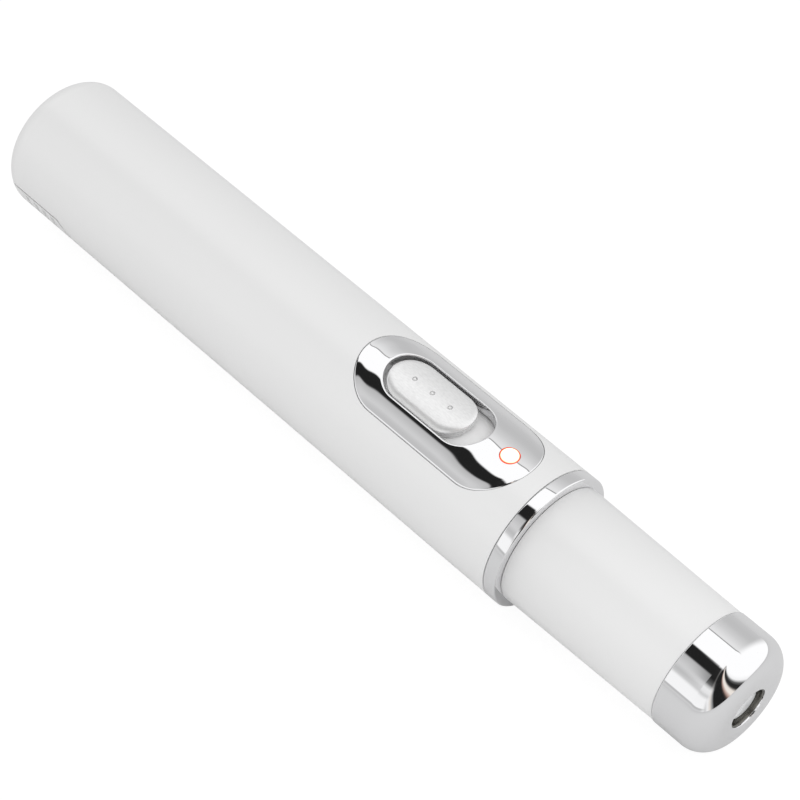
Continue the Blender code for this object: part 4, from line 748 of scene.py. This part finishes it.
for name, make, finish, body, node, finish_slot in PIECES:
    mesh = make()
    mesh.name = name
    mesh.materials.append(finish)
    link(name, mesh, body, *([node] if node else []), parent_slot=finish_slot)
for node in ("battery_rear", "battery_front"):
    mesh = cell_mesh()
    mesh.materials.append(CELL)
    cell = link(node + "_fine", mesh, "case", node, parent_slot="cell_jacket")
    cell.location = (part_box(node)[0].x, 0, ORIGIN.z - CELL_DROP)


# Studio
# What the gloss mirrors towards the rear: degrees round the pen from straight up towards -Y, and brightness
FAR_SIDE = (
    (-110, 0.60), (-75, 0.51), (-65, 0.52), (-50, 0.62), (-34, 0.78), (-31.6, 0.74), (-31.2, 0.12),
    (-30.2, 0.12), (-29.6, 1.0))
REAR_STUDIO = (
    *FAR_SIDE, (6.5, 1.0), (8.5, 0.015), (26.5, 0.015), (29, 0.47), (42, 0.60), (46, 0.62), (54, 0.50),
    (59, 0.58), (64, 0.92), (83, 0.92), (85, 0.40), (88, 0.60))
# Towards the front a tall flag stands with a gap in it, so its tones go by how far round to -Y a direction
# points, less a share of its height: degrees, brightness and colour
WARM, BROWN, NEUTRAL = (1.0, 0.93, 0.86), (1.0, 0.70, 0.60), (1, 1, 1)
MIDDLE_STUDIO = (
    *FAR_SIDE, (7.5, 1.0), (10.5, 0.02), (31, 0.015), (36, 0.06), (41, 0.14), (45, 0.55), (49, 0.82),
    (55, 0.78), (60, 0.60), (66, 0.90), (83, 0.92), (85, 0.40), (88, 0.60))
FRONT_STUDIO = (
    (-30, 1.0), (-22, 0.90), (-17, 0.12), (-13, 0.015), (-7.5, 0.03), (-4, 0.82, WARM), (0, 0.85, WARM),
    (3.5, 0.50, BROWN), (7, 0.08, BROWN), (9, 0.015), (31, 0.015), (36, 0.35), (40, 0.72, WARM), (47, 0.86),
    (53, 0.60), (60, 0.86), (70, 0.92), (130, 0.92))
LEAN_SHARE, FRONT_LAG_SHARE = 0.6, 0.6
# Over which stretches of a direction's forward part one pattern gives way to the next
MIDDLE_BLEND, FRONT_BLEND = (-0.298, -0.255), (-0.24, 0.14)
GLOSS_STRENGTH, SOFT_STRENGTH = 1.1, 0.905

FLOOR_HALF, FLOOR_SHADE, FLOOR_ROUGHNESS = 1.5, 0.90, 0.9
FLOOR_GLOW, FLOOR_GLOW_SHARE, FLOOR_DULLED = 1.07, 0.85, 0.25
KEY_PLACE, KEY_TARGET, KEY_SIZE, KEY_POWER = (0.20, -0.05, 0.28), (0.03, 0, 0.01), 0.2, 0.16
CAMERA_LENS, CAMERA_SENSOR, CAMERA_NEAR = 120.756, 36, 0.01
CAMERA_PLACE = (0.171315, -0.180126, 0.307233)
CAMERA_SIDE = (0.693407, 0.718909, 0.048547)
CAMERA_UP = (-0.573723, 0.510098, 0.640814)
CAMERA_BACK = (0.435923, -0.472197, 0.766160)


def studio_tones(tree, turn, stops):
    ramp = tree.nodes.new("ShaderNodeValToRGB")
    tree.links.new(turn, ramp.inputs[0])
    elements = ramp.color_ramp.elements
    elements.remove(elements[-1])
    for i, (degrees, value, *tint) in enumerate(stops):
        place = (degrees + 180) / 360
        element = elements[0] if i == 0 else elements.new(place)
        element.position = place
        element.color = (*[value * share for share in (tint or [NEUTRAL])[0]], 1)
    return ramp.outputs["Color"]


def math_node(tree, operation, *inputs):
    """Add a Math node on sockets or numbers, and give its result."""
    node = tree.nodes.new("ShaderNodeMath")
    node.operation = operation
    for socket, value in zip(node.inputs, inputs):
        if isinstance(value, (int, float)):
            socket.default_value = value
        else:
            tree.links.new(value, socket)
    return node.outputs[0]


def mix_shaders(tree, share, first, second):
    mix = tree.nodes.new("ShaderNodeMixShader")
    for socket, source in zip(mix.inputs, (share, first, second)):
        if source is not None:
            tree.links.new(source, socket)
    return mix.outputs[0]


def build_world():
    """White to the camera, an even grey light, and for reflections a studio of soft boxes and a dark flag."""
    world = bpy.data.worlds.new("studio")
    bpy.context.scene.world = world
    world.use_nodes = True
    tree = world.node_tree
    tree.nodes.clear()
    out = tree.nodes.new("ShaderNodeOutputWorld")
    path = tree.nodes.new("ShaderNodeLightPath")
    place = tree.nodes.new("ShaderNodeTexCoord")
    split = tree.nodes.new("ShaderNodeSeparateXYZ")
    tree.links.new(place.outputs["Generated"], split.inputs[0])
    aside = math_node(tree, "MULTIPLY", split.outputs["Y"], -1)
    round_pen = math_node(tree, "ARCTAN2", aside, split.outputs["Z"])
    round_floor = math_node(tree, "ARCTAN2", aside, split.outputs["X"])
    rise = math_node(tree, "ARCSINE", split.outputs["Z"])
    lean = math_node(tree, "MULTIPLY", rise, LEAN_SHARE)
    leaning = math_node(tree, "SUBTRACT", round_floor, lean)
    lag = math_node(tree, "MULTIPLY", math_node(tree, "MAXIMUM", aside, 0), FRONT_LAG_SHARE)
    later = math_node(tree, "SUBTRACT", split.outputs["X"], lag)
    span = math_node(tree, "MULTIPLY_ADD", round_pen, 1 / math.tau, 0.5)
    shown = studio_tones(tree, span, REAR_STUDIO)
    for ahead, turn, stops, (low, high) in (
            (split.outputs["X"], round_pen, MIDDLE_STUDIO, MIDDLE_BLEND),
            (later, leaning, FRONT_STUDIO, FRONT_BLEND)):
        forward = tree.nodes.new("ShaderNodeMapRange")
        forward.interpolation_type = "SMOOTHSTEP"
        forward.inputs["From Min"].default_value = low
        forward.inputs["From Max"].default_value = high
        tree.links.new(ahead, forward.inputs["Value"])
        blend = tree.nodes.new("ShaderNodeMix")
        blend.data_type = "RGBA"
        tree.links.new(forward.outputs[0], blend.inputs["Factor"])
        tree.links.new(shown, blend.inputs["A"])
        span = math_node(tree, "MULTIPLY_ADD", turn, 1 / math.tau, 0.5)
        tree.links.new(studio_tones(tree, span, stops), blend.inputs["B"])
        shown = blend.outputs["Result"]
    glossy = tree.nodes.new("ShaderNodeBackground")
    tree.links.new(shown, glossy.inputs["Color"])
    glossy.inputs["Strength"].default_value = GLOSS_STRENGTH
    soft = tree.nodes.new("ShaderNodeBackground")
    soft.inputs["Color"].default_value = (1, 1, 1, 1)
    soft.inputs["Strength"].default_value = SOFT_STRENGTH
    white = tree.nodes.new("ShaderNodeBackground")
    white.inputs["Color"].default_value = (1, 1, 1, 1)
    seen = math_node(tree, "MAXIMUM", path.outputs["Is Camera Ray"], path.outputs["Is Transmission Ray"])
    lit = mix_shaders(tree, path.outputs["Is Glossy Ray"], soft.outputs[0], glossy.outputs[0])
    tree.links.new(mix_shaders(tree, seen, lit, white.outputs[0]), out.inputs[0])


def build_floor():
    """A white floor that keeps the object's shadow and shows as white to the camera."""
    mesh = bpy.data.meshes.new("floor")
    corners = [(x * FLOOR_HALF, y * FLOOR_HALF, 0) for x, y in ((-1, -1), (1, -1), (1, 1), (-1, 1))]
    mesh.from_pydata(corners, [], [(0, 1, 2, 3)])
    floor = bpy.data.objects.new("floor", mesh)
    bpy.context.scene.collection.objects.link(floor)
    floor.location.z = cad_box[0].z
    made = bpy.data.materials.new("floor_white")
    made.use_nodes = True
    tree = made.node_tree
    shader = tree.nodes["Principled BSDF"]
    shader.inputs["Base Color"].default_value = (FLOOR_SHADE, FLOOR_SHADE, FLOOR_SHADE, 1)
    shader.inputs["Roughness"].default_value = FLOOR_ROUGHNESS
    shader.inputs["Specular IOR Level"].default_value = 0
    path = tree.nodes.new("ShaderNodeLightPath")
    seen = math_node(tree, "MAXIMUM", path.outputs["Is Camera Ray"], path.outputs["Is Transmission Ray"])
    share = math_node(tree, "MULTIPLY", seen, FLOOR_GLOW_SHARE)
    glow = tree.nodes.new("ShaderNodeEmission")
    glow.inputs["Color"].default_value = (1, 1, 1, 1)
    glow.inputs["Strength"].default_value = FLOOR_GLOW
    duller = math_node(tree, "MULTIPLY", path.outputs["Is Glossy Ray"], FLOOR_DULLED)
    dull = mix_shaders(tree, duller, shader.outputs[0], None)
    shown = mix_shaders(tree, share, dull, glow.outputs[0])
    tree.links.new(shown, tree.nodes["Material Output"].inputs["Surface"])
    mesh.materials.append(made)


def area_lamp(name, place, target, size, power):
    light = bpy.data.lights.new(name, "AREA")
    light.shape = "DISK"
    light.size = size
    light.energy = power
    lamp = bpy.data.objects.new(name, light)
    bpy.context.scene.collection.objects.link(lamp)
    lamp.location = place
    lamp.rotation_euler = (Vector(target) - Vector(place)).to_track_quat("-Z", "Y").to_euler()
    lamp.visible_glossy = False


def build_camera():
    view = bpy.data.cameras.new("photo_view")
    view.lens = CAMERA_LENS
    view.sensor_width = CAMERA_SENSOR
    view.clip_start = CAMERA_NEAR
    camera = bpy.data.objects.new("photo_view", view)
    bpy.context.scene.collection.objects.link(camera)
    turn = Matrix((CAMERA_SIDE, CAMERA_UP, CAMERA_BACK)).transposed().to_4x4()
    camera.matrix_world = Matrix.Translation(CAMERA_PLACE) @ turn
    bpy.context.scene.camera = camera


build_world()
build_floor()
area_lamp("key", KEY_PLACE, KEY_TARGET, KEY_SIZE, KEY_POWER)
build_camera()
bpy.context.scene.view_settings.view_transform = "Standard"

bpy.context.view_layer.update()
